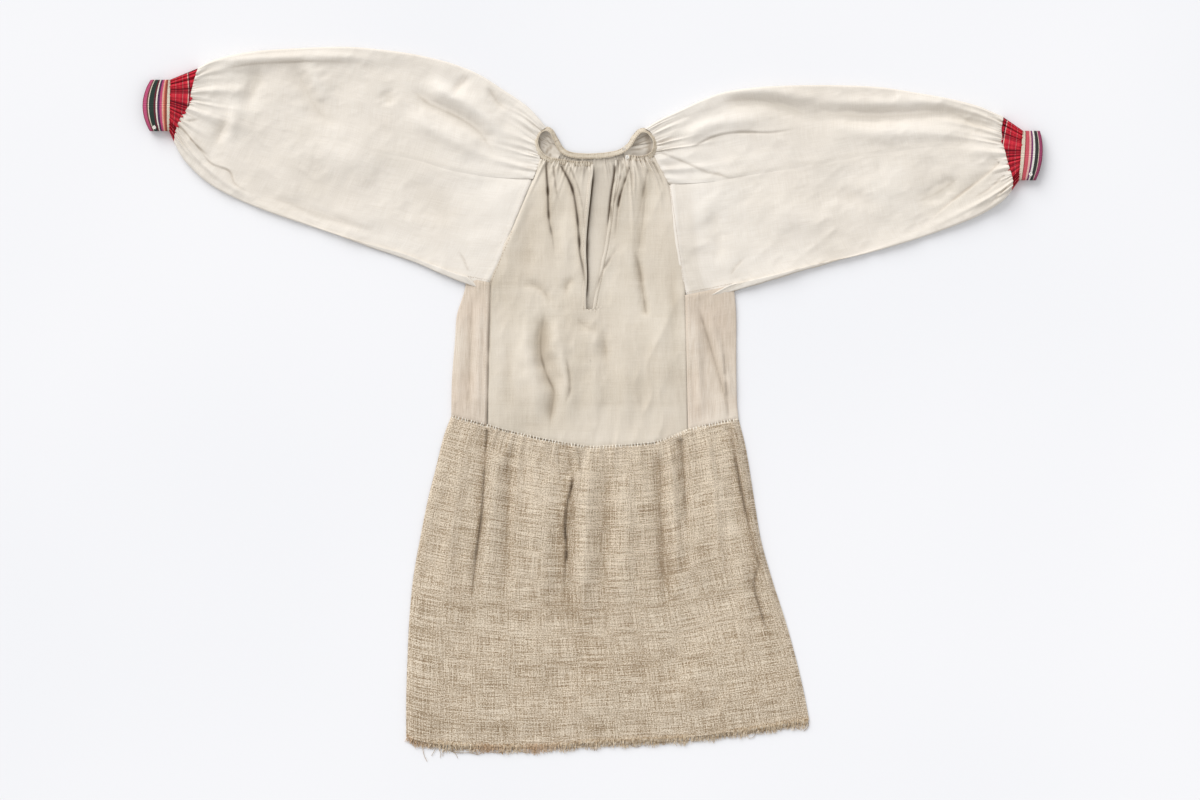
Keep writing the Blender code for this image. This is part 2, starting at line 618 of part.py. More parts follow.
waistCurve = smoothCurve(waist)
seamShareLeft = shareAt(waistCurve, sideSeamLeft[-1][1] * mm)
seamShareRight = shareAt(waistCurve, sideSeamRight[-1][1] * mm)
slitShare = shareAt(waistCurve, slitLeft[-1][1] * mm)
buildSleeve("left", leftSeam, leftSeamBack, leftTop, leftBottom, leftCuffUpper, leftCuffLower,
            leftNeckFront, leftNeckBack, leftArmFront, leftArmBack)
buildSleeve("right", rightSeam, rightSeamBack, rightTop, rightBottom, rightCuffUpper, rightCuffLower,
            rightNeckFront, rightNeckBack, rightArmFront, rightArmBack)
buildFrontPanel()
buildBackPanel()
buildSidePanel("side_panel_left", sideSeamLeft, sideTopLeft, bodyLeft, seamShareLeft, 0)
buildSidePanel("side_panel_right", sideSeamRight, sideTopRight, bodyRight, seamShareRight, 1)
buildSkirt()
buildFringe("hem_fringe_front", 74, 2.5 * mm, 1.5 * mm, 1.9 * mm, True)
buildFringe("hem_fringe_back", 44, 0.3 * mm, 1.3 * mm, 0.3 * mm, False)
buildCuff("cuff_left", leftCuffSize)
buildCuff("cuff_right", rightCuffSize)
buildRedBand("red_band_left", leftCuffSize, leftCuffUpper, leftCuffLower)
buildRedBand("red_band_right", rightCuffSize, rightCuffUpper, rightCuffLower)
buildNeckband()
addKnot("neck_button", (60 * mm, 400.5 * mm, 10.1 * mm), 3.6 * mm, 0.55)
addKnot("cuff_knot_left", (-705 * mm, 449 * mm, 17.0 * mm), 2.6 * mm, 0.9)
addKnot("cuff_knot_right", (708 * mm, 373 * mm, 17.7 * mm), 2.6 * mm, 0.9)

for item in collection.objects:
    item.location.x = item.location.x - boxMiddleX
    item.location.y = item.location.y - boxMiddleY
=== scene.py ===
# Linen shirt laid flat, front up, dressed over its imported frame. Tables are in millimetres.
import math

import bmesh
import bpy
import numpy as np
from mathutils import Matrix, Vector
from mathutils.bvhtree import BVHTree


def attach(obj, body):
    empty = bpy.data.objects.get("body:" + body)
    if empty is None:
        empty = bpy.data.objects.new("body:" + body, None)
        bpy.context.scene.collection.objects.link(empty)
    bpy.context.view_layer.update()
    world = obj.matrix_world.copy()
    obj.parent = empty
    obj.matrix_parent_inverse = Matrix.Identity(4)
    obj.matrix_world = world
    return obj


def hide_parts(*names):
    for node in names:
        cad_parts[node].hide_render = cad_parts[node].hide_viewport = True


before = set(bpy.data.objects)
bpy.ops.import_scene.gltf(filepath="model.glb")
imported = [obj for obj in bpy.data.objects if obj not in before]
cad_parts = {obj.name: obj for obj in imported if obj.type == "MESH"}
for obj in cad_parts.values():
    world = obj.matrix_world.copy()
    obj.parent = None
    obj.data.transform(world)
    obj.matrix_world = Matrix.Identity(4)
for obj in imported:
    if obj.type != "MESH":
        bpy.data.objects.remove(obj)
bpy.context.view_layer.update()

print("frame loaded")

mm = 0.001
boxMiddle = np.array((2.665, 3.075))     # middle of the shirt's box in the tables' own frame
turnRound = 2 * math.pi

# Curves and patches

def roundPath(rows, spanSteps=16):
    # Points of a round curve through the rows.
    points = np.array(rows, float)
    padded = np.vstack([2 * points[0] - points[1], points, 2 * points[-1] - points[-2]])
    t = np.linspace(0, 1, spanSteps, endpoint=False)[:, None]
    dense = []
    for i in range(len(points) - 1):
        before, start, end, after = padded[i:i + 4]
        pull = (end - before) * t + (2 * before - 5 * start + 4 * end - after) * t ** 2
        pull = pull + (3 * start - before - 3 * end + after) * t ** 3
        dense.append(start + 0.5 * pull)
    dense.append(points[-1:])
    return np.vstack(dense)


def pathShares(dense):
    steps = np.linalg.norm(np.diff(dense[:, :2], axis=0), axis=1)
    lengths = np.concatenate([[0], np.cumsum(steps)])
    return lengths / lengths[-1]


def smoothCurve(rows):
    dense = roundPath(rows)
    shares = pathShares(dense)
    return lambda s: np.stack([np.interp(s, shares, dense[:, k]) for k in range(dense.shape[1])], -1)


def cornerCurve(rows):
    # Straight stretches between rows of share, x, y.
    table = np.array(rows, float)
    return lambda s: np.stack([np.interp(s, table[:, 0], table[:, k]) for k in (1, 2)], -1)


def softCurve(rows):
    # The same rows, joined by a round curve.
    table = roundPath(rows, 12)
    return lambda s: np.stack([np.interp(s, table[:, 0], table[:, k]) for k in (1, 2)], -1)


def stretch(curve, first, last):
    return lambda s: curve(first + (last - first) * np.asarray(s, float))


def patch(start, end, near, far):
    # Fills four edges: start and end run with u, near and far run with w.
    def at(u, w):
        u, w = np.broadcast_arrays(np.asarray(u, float), np.asarray(w, float))
        shareU = u[..., None]
        shareW = w[..., None]
        alongU = (1 - shareW) * start(u) + shareW * end(u)
        alongW = (1 - shareU) * near(w) + shareU * far(w)
        corners = (1 - shareU) * ((1 - shareW) * start(0.0) + shareW * end(0.0))
        corners = corners + shareU * ((1 - shareW) * start(1.0) + shareW * end(1.0))
        return alongU + alongW - corners
    return at


# Relief of the cloth

def nearPath(x, y, path):
    # Distance to a path, the side that a point lies on (1 is left of its run) and the share along it.
    start = path[:-1]
    step = np.diff(path, axis=0)
    length = np.linalg.norm(step, axis=1)
    fromX = x[:, None] - start[:, 0]
    fromY = y[:, None] - start[:, 1]
    t = np.clip((fromX * step[:, 0] + fromY * step[:, 1]) / length ** 2, 0, 1)
    offX = fromX - t * step[:, 0]
    offY = fromY - t * step[:, 1]
    apart = offX ** 2 + offY ** 2
    best = np.argmin(apart, axis=1)
    row = np.arange(len(x))
    side = np.sign(step[best, 0] * offY[row, best] - step[best, 1] * offX[row, best])
    gone = np.concatenate([[0], np.cumsum(length)])
    share = (gone[best] + t[row, best] * length[best]) / gone[-1]
    return np.sqrt(apart[row, best]), side, share


def hill(distance, width, power=2):
    return np.exp(-(distance / width) ** power)


def easeIn(share):
    share = np.clip(share, 0, 1)
    return share * share * (3 - 2 * share)


def stepUp(value):
    return 0.5 + 0.5 * np.tanh(value / 2)


def latticeNoise(x, y, cell, seed, angle=0.0):
    # Smooth noise from -1 to 1 whose hills are about one cell apart.
    turnedX = (x * math.cos(angle) + y * math.sin(angle)) / cell + 500
    turnedY = (y * math.cos(angle) - x * math.sin(angle)) / cell + 500
    values = np.random.RandomState(seed).uniform(-1, 1, (64, 64))
    column = np.floor(turnedX).astype(int)
    row = np.floor(turnedY).astype(int)
    fx = turnedX - column
    fy = turnedY - row
    fx = fx ** 3 * (fx * (fx * 6 - 15) + 10)
    fy = fy ** 3 * (fy * (fy * 6 - 15) + 10)
    low = values[row % 64, column % 64] * (1 - fx) + values[row % 64, (column + 1) % 64] * fx
    high = values[(row + 1) % 64, column % 64] * (1 - fx) + values[(row + 1) % 64, (column + 1) % 64] * fx
    return low * (1 - fy) + high * fy


foldGains = {"groove": 1.9, "step": 1.9, "lift": 2.5, "sleeveLift": 3.6}


def foldRelief(spot, folds, liftGain=foldGains["lift"]):
    # Sum of folds, how deep in a crease each point lies, which is painted as dark crease shade, and a
    # painted shade that darkens troughs and creases and lightens ridges. Fold rows: path, spread, lift,
    # crease, step, fadeIn, fadeOut. Lift is a soft ridge or trough, crease a narrow groove, and step
    # raises one side.
    relief, tint, tone = (np.zeros(spot.shape[:-1]) for i in range(3))
    flatX, flatY = spot[..., 0].ravel(), spot[..., 1].ravel()
    for rows, spread, lift, crease, step, fadeIn, fadeOut in folds:
        path = roundPath(rows, 7)
        reach = 2.6 * spread + 4
        low = path.min(axis=0) - reach
        high = path.max(axis=0) + reach
        near = (flatX > low[0]) & (flatX < high[0]) & (flatY > low[1]) & (flatY < high[1])
        picked = np.flatnonzero(near)
        if len(picked) == 0:
            continue
        distance, side, share = nearPath(flatX[picked], flatY[picked], path)
        strength = easeIn(share / max(fadeIn, 0.001)) * easeIn((1 - share) / max(fadeOut, 0.001))
        uneven = latticeNoise(share * 260 + path[0, 0], 0 * share + path[0, 1], 21, 7)
        groove = hill(distance, foldGains["groove"] * (1 + 0.35 * uneven)) * (0.85 + 0.35 * uneven)
        soft = spread * (1 + 0.2 * uneven)
        added = liftGain * lift * hill(distance, soft) - crease * groove
        sided = 0.5 + 0.5 * np.tanh(distance * side * math.copysign(1, step) / 1.3)
        added = added + foldGains["step"] * abs(step) * sided * np.exp(-distance / soft)
        relief.ravel()[picked] += added * strength
        # Painted crease shade, darkest at the bottom of the groove.
        deep = np.clip(groove, 0, 1) ** 1.3 * strength * min(1, crease / 3)
        tint.ravel()[picked] = np.maximum(tint.ravel()[picked], deep)
        # Painted shade along the fold: darker over troughs and creases, lighter over ridges.
        shade = 0.2 * min(lift, 0) + 0.06 * max(lift, 0) - 0.08 * crease
        tone.ravel()[picked] += shade * hill(distance, 0.8 * soft) * strength
    return relief, tint, tone


def crumple(spot, sizes, seed):
    # Soft swells, with fine sharp wrinkles on them. Sizes: swell, wrinkle, fine, and stretch along Y.
    x, y = spot[..., 0], spot[..., 1]
    swell, wrinkle, fine, long = sizes
    total = swell * latticeNoise(x, y / long, 58, seed, 0.4)
    total = total + swell * 0.6 * latticeNoise(x, y / long, 31, seed + 1, 1.1)
    ridged = 1 - 2 * np.abs(latticeNoise(x, y / long, 24, seed + 2, 0.7))
    total = total + wrinkle * ridged * (0.5 + 0.5 * latticeNoise(x, y, 80, seed + 3))
    ridged = 1 - 2 * np.abs(latticeNoise(x, y / long, 11, seed + 4, 2.0))
    return total + fine * ridged * (0.6 + 0.4 * latticeNoise(x, y, 50, seed + 5))


def gatherRidges(across, away, count, height, reach, seed):
    # Ridges that run out from a gathered edge. across is 0..1 along it, away is the distance from it.
    picks = np.random.RandomState(seed)
    total = np.zeros(np.broadcast(across, away).shape)
    for i in range(count):
        middle = (i + 0.5 + picks.uniform(-0.3, 0.3)) / count
        width = picks.uniform(0.2, 0.55) / count
        length = reach * (0.35 + 1.9 * picks.uniform(0, 1) ** 2)
        tall = height * (0.35 + 1.15 * picks.uniform(0, 1) ** 1.5)
        drift = picks.uniform(-0.5, 0.5) / count
        ridge = (across - middle - drift * away / reach) / (width * (1 + 0.7 * away / length))
        total = total + tall * np.exp(-ridge ** 2) * hill(away, length, 1.2)
    return total - height * 0.45 * np.exp(-away / reach)


def ruffleTint(ridges, strength, most):
    # Painted shade: dark in the grooves between ridges.
    return np.clip(-strength * ridges, 0, most)


def softFloor(height, least=2.2):
    # Keeps a height above the least one without a hard corner.
    return least + np.log1p(np.exp((height - least) * 2.5)) / 2.5


# Painted shade on the cloth seen inside the neck: shadows along the slit's edges and in the loops. Columns:
# path, width, from, to.
neckShades = ((((5, 380), (0, 339), (-5.5, 284), (-7, 251), (-5.5, 209), (-7, 176)), 2.2, 178, 372),
              (((-5.5, 270), (-7, 251), (-6.5, 240)), 3.4, 238, 268),
              (((38, 388), (37, 371), (32, 339), (29, 308), (27, 290)), 2.4, 296, 392),
              (((64, 418.7), (78, 424), (90, 429)), 1.0, 300, 500),
              (((64, 413), (78, 415), (92, 418.7)), 1.2, 300, 500),
              (((68, 408), (80, 409), (92, 410)), 1.0, 300, 500),
              (((70, 427), (78, 432), (87, 436)), 1.1, 300, 500),
              (((91, 434), (95, 419), (92, 405)), 4.4, 300, 500),
              (((-79, 429), (-70.5, 436), (-62, 427), (-60, 412), (-70, 402)), 1.1, 300, 500),
              (((-77, 424), (-70.5, 429), (-65.5, 420), (-65.5, 410)), 1.0, 300, 500),
              (((-77, 418), (-71, 422), (-70, 413.6), (-74, 407)), 1.0, 300, 500),
              (((-84, 432), (-84, 418), (-78, 406)), 2.2, 300, 500))


def neckShade(spot):
    flatX, flatY = spot[..., 0].ravel(), spot[..., 1].ravel()
    tint = np.zeros(flatX.shape)
    for rows, wide, least, most in neckShades:
        distance = nearPath(flatX, flatY, roundPath(rows, 6))[0]
        fade = stepUp((flatY - least) / 4) * stepUp((most - flatY) / 4)
        tint = np.maximum(tint, hill(distance, wide) * fade)
    return tint.reshape(spot.shape[:-1])


# Outlines, seams and edges. Columns: x, y.
leftTop = ((-634, 546), (-606, 560), (-551, 572), (-471, 578), (-390, 580), (-309, 572), (-257, 562),
           (-218, 551), (-180, 535), (-141, 510), (-102, 483), (-72, 450))
leftBottom = ((-674, 425), (-658, 397), (-626, 365), (-587, 341), (-529, 316), (-451, 289), (-374, 264),
              (-309, 247), (-257, 227), (-225, 215), (-202, 208))
leftSeam = ((-649, 484), (-568, 458), (-471, 437), (-398, 425), (-357, 411), (-291, 399), (-233, 382),
            (-194, 374), (-152, 369), (-94, 366))
leftSeamBack = ((-649, 484), (-568, 458), (-471, 437), (-357, 411), (-233, 382), (-152, 369), (-72, 366))
rightTop = ((666, 467), (645, 476), (623, 485), (581, 496), (526, 506), (467, 515), (403, 518),
            (338, 518), (273, 515), (215, 507), (176, 493), (137, 475), (112, 463), (87, 448))
rightBottom = ((679, 345), (661, 327), (623, 305), (564, 282), (500, 261), (435, 243), (370, 229),
               (306, 213), (231, 196))
rightSeam = ((668, 413), (613, 418), (556, 418), (437, 403), (387, 393), (338, 385), (265, 374),
             (196, 362), (126, 358))
rightSeamBack = ((668, 413), (613, 418), (556, 418), (437, 403), (338, 385), (196, 362), (74, 358))
bodyLeft = ((-202, 206.6), (-205, 184), (-217, 146), (-220, 106), (-225, 41), (-226, -17))
bodyRight = ((231, 194.6), (235, 146), (235, 74), (236, 9), (239, -23))
waist = ((-226, -17), (-168, -32), (-94, -51), (-13, -66), (32, -66), (108, -59), (157, -40),
         (207, -28), (239, -23))
skirtLeft = ((-226, -17), (-238, -49), (-251, -101), (-264, -153), (-277, -218), (-288, -282),
             (-294, -347), (-297, -412), (-299, -476), (-299, -536))
skirtRight = ((239, -23), (251, -72), (264, -153), (275, -218), (293, -282), (314, -347), (332, -412),
              (344, -463), (353, -509))
hem = ((-299, -536), (-264, -545), (-196, -551), (-82, -552), (-11, -546), (66, -542), (144, -538),
       (222, -529), (299, -518), (353, -509))
panelTopLeft = ((-83, 399), (-66, 397.5), (-45, 394), (-20, 391.5), (4, 390.5))
panelTopRight = ((39, 396), (57, 401.5), (76, 400), (92, 402), (103, 402))
backTop = ((-47, 412), (-24, 405), (0, 404), (25, 405), (51, 411))

# Ends of the cloths. Columns: share of the way across the cloth, x, y.
leftCuffUpper = ((0, -649, 484), (0.5, -644, 513), (1, -634, 546))
leftCuffLower = ((0, -649, 484), (0.3, -662, 466), (0.7, -670, 446), (1, -674, 425))
leftNeckFront = ((0, -94, 366), (0.2, -83, 395), (0.4, -84, 408), (0.6, -88, 426), (0.8, -83, 441),
                 (1, -72, 450))
leftNeckBack = ((0, -72, 366), (0.2, -47, 412), (0.4, -53, 424), (0.6, -59, 434), (0.8, -67, 443),
                (1, -72, 450))
leftArmFront = ((0, -94, 366), (0.7, -163, 200), (1, -202, 208))
leftArmBack = ((0, -72, 366), (0.7, -163, 200), (1, -202, 208))
rightCuffUpper = ((0, 668, 413), (0.5, 663, 443), (1, 666, 467))
rightCuffLower = ((0, 668, 413), (0.3, 674, 389), (0.7, 681, 365), (1, 679, 345))
rightNeckFront = ((0, 126, 358), (0.2, 103, 402), (0.4, 103, 414), (0.6, 103.5, 428), (0.8, 97, 441),
                  (1, 87, 448))
rightNeckBack = ((0, 74, 358), (0.2, 51, 411), (0.4, 60, 421), (0.6, 67, 433), (0.8, 77, 442),
                 (1, 87, 448))
rightArmFront = ((0, 126, 358), (0.7, 152, 180), (1, 231, 196))
rightArmBack = ((0, 74, 358), (0.7, 152, 180), (1, 231, 196))

# Long edges of the body. Columns: share of the way down, x, y.
panelLeft = ((0, -83, 399), (0.1, -94, 366), (0.3, -127, 286.6), (0.55, -163, 200), (1, -168, -32))
slitLeft = ((0, 4, 390), (0.03, 3, 378), (0.13, -1, 339), (0.28, -6.5, 284), (0.35, -8, 251),
            (0.45, -6.5, 209), (0.51, -8, 176), (0.557, -7, 151), (0.575, -3, 145), (1, 2, -66))
slitRight = ((0, 39, 396), (0.05, 38.5, 371), (0.13, 33, 339), (0.21, 30, 308), (0.34, 22, 255),
             (0.38, 18, 238), (0.45, 12.5, 209), (0.51, 6, 178), (0.557, 1.5, 151), (0.575, -3, 145),
      (1, 2, -66))
panelRight = ((0, 103, 402), (0.1, 126, 358), (0.3, 137, 282), (0.55, 152, 180), (1, 157, -40))
sideSeamLeft = ((0, -163, 198.6), (1, -168, -32))
sideSeamRight = ((0, 152, 178.6), (1, 157, -40))
sideTopLeft = ((0, -163, 198.6), (1, -202, 206.6))
sideTopRight = ((0, 152, 178.6), (1, 231, 194.6))
backLeft = ((0, -47, 412), (0.5, -163, 200), (1, -168, -32))
backRight = ((0, 51, 411), (0.5, 152, 180), (1, 157, -40))

waistCurve = smoothCurve(waist)
hemCurve = smoothCurve(hem)


def shareAt(curve, x):
    shares = np.linspace(0, 1, 4001)
    return shares[int(np.argmin(np.abs(curve(shares)[:, 0] - x)))]


seamShareLeft = shareAt(waistCurve, -168)
seamShareRight = shareAt(waistCurve, 157)
slitShare = shareAt(waistCurve, 2)

# Folds. Columns: path, spread, lift, crease, step, fadeIn, fadeOut.
bodyFolds = (
    (((-161, 204), (-165, 110), (-168.5, -32)), 4, 0, 1.6, 0.4, 0, 0),
    (((-49, 388), (-31, 352), (-23, 310), (-19, 264), (-18, 247), (-11, 209),
      (-10, 177)), 9, 0, 4.6, -2.8, 0, 0.4),
    (((40, 388), (36, 360), (31.5, 334), (32.3, 310), (31, 290)), 4, 0, 4.2, 1.3, 0, 0.3),
    (((-34, 386), (-20, 350), (-12, 310), (-10, 270)), 5, 0.6, 1.2, 0.7, 0, 0.6),
    (((-73, 391), (-70, 349), (-68, 302), (-61, 264), (-60, 232)), 9, 0, 3.8, -1.8, 0, 0.6),
    (((-61, 388), (-55, 342), (-45, 321)), 6, 0, 1.5, -0.9, 0, 0.7),
    (((62, 384), (52, 354), (45, 329), (40, 284), (36, 262)), 7, 0, 3.2, 1.5, 0, 0.6),
    (((52, 390), (44, 352), (36, 320), (34, 280)), 6, 0.5, 1.6, 0.8, 0, 0.6),
    (((52, 268), (29, 235), (15, 208), (4, 170)), 7, 0, 1.6, 0.9, 0.5, 0.3),
    (((92, 382), (84, 339), (71, 274)), 10, -0.4, 1.3, 0.8, 0, 0.8),
    (((100, 394), (113, 368), (121, 345)), 6, 0, 1.4, -0.7, 0, 0.7),
    (((93, 372), (86, 330), (84, 300), (76, 250), (70, 210)), 10, -0.9, 0.5, 0, 0.2, 0.4),
    (((58, 300), (62, 240), (70, 170)), 14, 1.4, 0, 0, 0.5, 0.6),
    (((-81, 378), (-112, 308), (-146, 232)), 8, 1.2, 0, 0, 0.3, 0.3),
    (((-96, 330), (-104, 250), (-112, 190)), 16, -1.2, 0, 0, 0.5, 0.5),
    (((-40, 320), (-42, 260), (-40, 200)), 11, 1.6, 0, 0, 0.4, 0.5),
    (((-72, 160), (-80, 122), (-81, 83), (-71, 48), (-60, 22), (-64, -8),
      (-68, -43)), 9, -2.1, 1.5, 1.0, 0.25, 0.2),
    (((-70, 150), (-73, 112), (-70, 84), (-58, 50), (-50, 20)), 11, -1.6, 0, 0, 0.3, 0.3),
    (((-48, 160), (-52, 100), (-38, 40), (-34, -35)), 12, 2.2, 0, 0, 0.3, 0.3),
    (((-102, 150), (-104, 90), (-88, 20), (-90, -35)), 13, 2.4, 0, 0, 0.3, 0.3),
    (((-40, 83), (-34, 28), (-47, -5)), 6, -1.0, 0.9, -0.4, 0.3, 0.4),
    (((-118, 190), (-96, 196), (-74, 182), (-66, 160)), 8, -1.2, 0.4, 0, 0.4, 0.3),
    (((-30, 150), (-8, 128), (26, 118)), 10, -1.0, 0.3, 0, 0.4, 0.4),
    (((-10, 138), (6, 112), (10, 80)), 12, 1.6, 0, 0, 0.4, 0.4),
    (((70, 256), (79, 218), (84, 182), (90, 142)), 7, -1.7, 1.0, 0.8, 0.3, 0.12),
    (((-128, 130), (-133, 60), (-130, -20)), 12, -1.1, 0, 0, 0.4, 0.3),
    (((-24, 206), (-39, 195), (-39, 171)), 7, -1.2, 0.5, 0, 0.3, 0.5),
    (((-57, 145), (-63, 90), (-60, 60)), 8, 1.0, 0, 0, 0.5, 0.5),
    (((18, 129), (24, 83), (28, 50)), 9, -1.3, 0.3, 0, 0.4, 0.5),
    (((2, 110), (6, 50), (4, -30)), 13, 1.4, 0, 0, 0.5, 0.3),
    (((52, 90), (58, 20), (60, -40)), 14, 1.2, 0, 0, 0.5, 0.3),
    (((104, 170), (112, 80), (118, 0)), 16, 1.4, 0, 0, 0.4, 0.4),
    (((128, 250), (134, 160), (138, 60)), 10, -1.1, 0, 0, 0.4, 0.4),
    (((212, 110), (218, 33), (222, -30)), 7, 0, 1.5, -0.9, 0.4, 0.3),
    (((172, 164), (196, 85), (224, -10)), 7, -0.8, 1.2, 0.8, 0.2, 0.2),
    (((184, 164), (206, 95), (232, 10)), 7, 1.4, 0, 0, 0.3, 0.2),
    (((160, 150), (172, 60), (184, -20)), 7, 1.1, 0, 0, 0.3, 0.2),
    (((173, 160), (176, 74), (175, -30)), 6, 1.0, 0.4, 0, 0.3, 0.2),
    (((-209, 171), (-213, 90), (-216, -7)), 6, 0.9, 0, 0, 0.3, 0.2),
    (((-192, 185), (-196, 74), (-199, -20)), 6, -1.0, 0.5, 0, 0.2, 0.2),
    (((-179, 180), (-182, 80), (-184, -24)), 6, 1.0, 0, 0, 0.2, 0.2))
skirtFolds = (
    (((-40, -62), (-34, -91), (-29, -122)), 12, -1.2, 0.6, 0.8, 0, 0.3),
    (((-29, -106), (-31, -128), (-39, -161), (-42, -198), (-40, -240),
      (-45, -310)), 19, -0.9, 5.2, -3.0, 0.15, 0.4),
    (((-45, -255), (-36, -310), (-10, -380), (15, -460)), 22, -1.7, 0, 0, 0.3, 0.6),
    (((-4, -75), (-6, -153), (-12, -280), (-16, -400)), 15, 3.6, 0, 0, 0.2, 0.5),
    (((-66, -75), (-72, -153), (-76, -270), (-80, -380)), 15, 2.2, 0, 0, 0.2, 0.6),
    (((-54, -66), (-52, -100), (-50, -135)), 6, 0, 1.2, 0.6, 0, 0.6),
    (((-22, -66), (-18, -95), (-16, -125)), 6, 0, 1.0, -0.6, 0, 0.6),
    (((27, -75), (26, -160), (22, -270), (18, -390)), 12, -1.9, 0, 0, 0.2, 0.6),
    (((55, -75), (57, -180), (54, -300), (50, -420)), 14, 2.0, 0, 0, 0.2, 0.6),
    (((226, -34), (236, -100), (252, -180), (267, -245), (272, -258), (264, -290), (280, -350),
      (299, -412)), 13, -0.6, 3.4, 2.2, 0, 0.3),
    (((190, -60), (212, -132), (232, -219), (250, -310), (268, -400)), 14, 1.6, 0, 0, 0.3, 0.5),
    (((146, -54), (151, -132), (158, -240)), 7, -1.2, 1.6, 0.9, 0, 0.5),
    (((129, -60), (133, -130), (138, -240), (142, -330)), 9, 2.4, 0, 0, 0.1, 0.4),
    (((188, -46), (196, -120), (206, -220), (218, -330)), 9, 1.9, 0, 0, 0.1, 0.6),
    (((120, -190), (131, -289), (140, -350)), 15, -1.5, 0, 0, 0.4, 0.5),
    (((111, -68), (113, -170), (118, -290), (121, -380)), 9, -1.8, 0.7, 0, 0.1, 0.5),
    (((-168, -40), (-172, -100), (-177, -180), (-188, -262), (-194, -350)), 10, -0.8, 2.8, 1.0, 0, 0.4),
    (((-150, -64), (-156, -130), (-164, -240), (-172, -350)), 12, 1.6, 0, 0, 0.1, 0.6),
    (((-206, -50), (-218, -150), (-232, -260), (-240, -370)), 12, 1.5, 0, 0, 0.2, 0.5),
    (((-131, -62), (-134, -150), (-138, -270), (-142, -360)), 10, -1.8, 0.5, 0, 0.1, 0.5),
    (((-91, -70), (-92, -140), (-95, -250), (-98, -340)), 11, 1.9, 0, 0, 0.1, 0.6),
    (((-110, -330), (-90, -400), (-80, -480)), 26, 1.0, 0, 0, 0.5, 0.5),
    (((180, -330), (196, -400), (200, -470)), 26, 1.0, 0, 0, 0.5, 0.5),
    (((60, -330), (76, -400), (90, -470)), 22, -0.8, 0, 0, 0.5, 0.5))
leftSleeveFolds = (
    (((-677, 462), (-656, 441), (-634, 417), (-612, 398)), 5, 0.5, 2.6, 1.1, 0, 0.4),
    (((-664, 462), (-648, 460), (-630, 464)), 4, 0, 1.6, 0.7, 0, 0.5),
    (((-626, 541), (-579, 556), (-479, 563), (-396, 563), (-349, 558), (-311, 553)), 8, 1.6, 0, 0, 0.2, 0.4),
    (((-600, 542), (-540, 552), (-440, 556), (-360, 552)), 5, 0, 1.1, 0.7, 0.2, 0.5),
    (((-484, 562), (-458, 505), (-430, 465), (-385, 455)), 14, -1.5, 0.4, 0, 0.3, 0.5),
    (((-464, 565), (-436, 512), (-405, 480)), 14, 1.5, 0, 0, 0.3, 0.5),
    (((-336, 512), (-319, 484)), 12, -1.2, 0, 0, 0.4, 0.4),
    (((-294, 513), (-264, 489), (-247, 481), (-210, 463), (-181, 442), (-162, 415),
      (-150, 397)), 11, -1.8, 1.3, -1.3, 0.2, 0.4),
    (((-270, 522), (-230, 503), (-190, 482), (-150, 445), (-130, 412)), 13, 2.4, 0, 0, 0.2, 0.4),
    (((-305, 478), (-262, 450), (-210, 425), (-170, 390)), 15, 1.8, 0, 0, 0.3, 0.4),
    (((-194, 535), (-217, 513), (-222, 492)), 8, -1.0, 0.7, 0, 0.3, 0.4),
    (((-168, 517), (-150, 489), (-133, 478)), 8, -1.2, 0.9, 0, 0.3, 0.4),
    (((-534, 552), (-553, 494), (-558, 470)), 12, -1.6, 0.3, 0, 0.3, 0.5),
    (((-585, 470), (-600, 441), (-608, 410)), 10, -1.4, 0.6, 0, 0.3, 0.5),
    (((-568, 500), (-578, 460), (-580, 420)), 11, 1.3, 0, 0, 0.4, 0.5),
    (((-668, 456), (-636, 420), (-615, 392), (-585, 379), (-574, 357), (-539, 339)), 9, 0, 1.7, 1.3, 0, 0.4),
    (((-655, 440), (-622, 396), (-590, 362), (-540, 330)), 9, 1.2, 0, 0, 0.1, 0.4),
    (((-539, 345), (-438, 308), (-309, 266)), 8, -0.9, 0.4, 0, 0.3, 0.5),
    (((-490, 430), (-400, 400), (-330, 350)), 34, 1.4, 0, 0, 0.4, 0.4),
    (((-520, 400), (-440, 360), (-360, 320)), 26, -1.0, 0, 0, 0.4, 0.4),
    (((-300, 370), (-240, 320), (-215, 260)), 20, -1.1, 0, 0, 0.4, 0.4),
    (((-214, 250), (-206, 236), (-198, 216)), 6, 0, 1.3, 0.6, 0.3, 0.1))
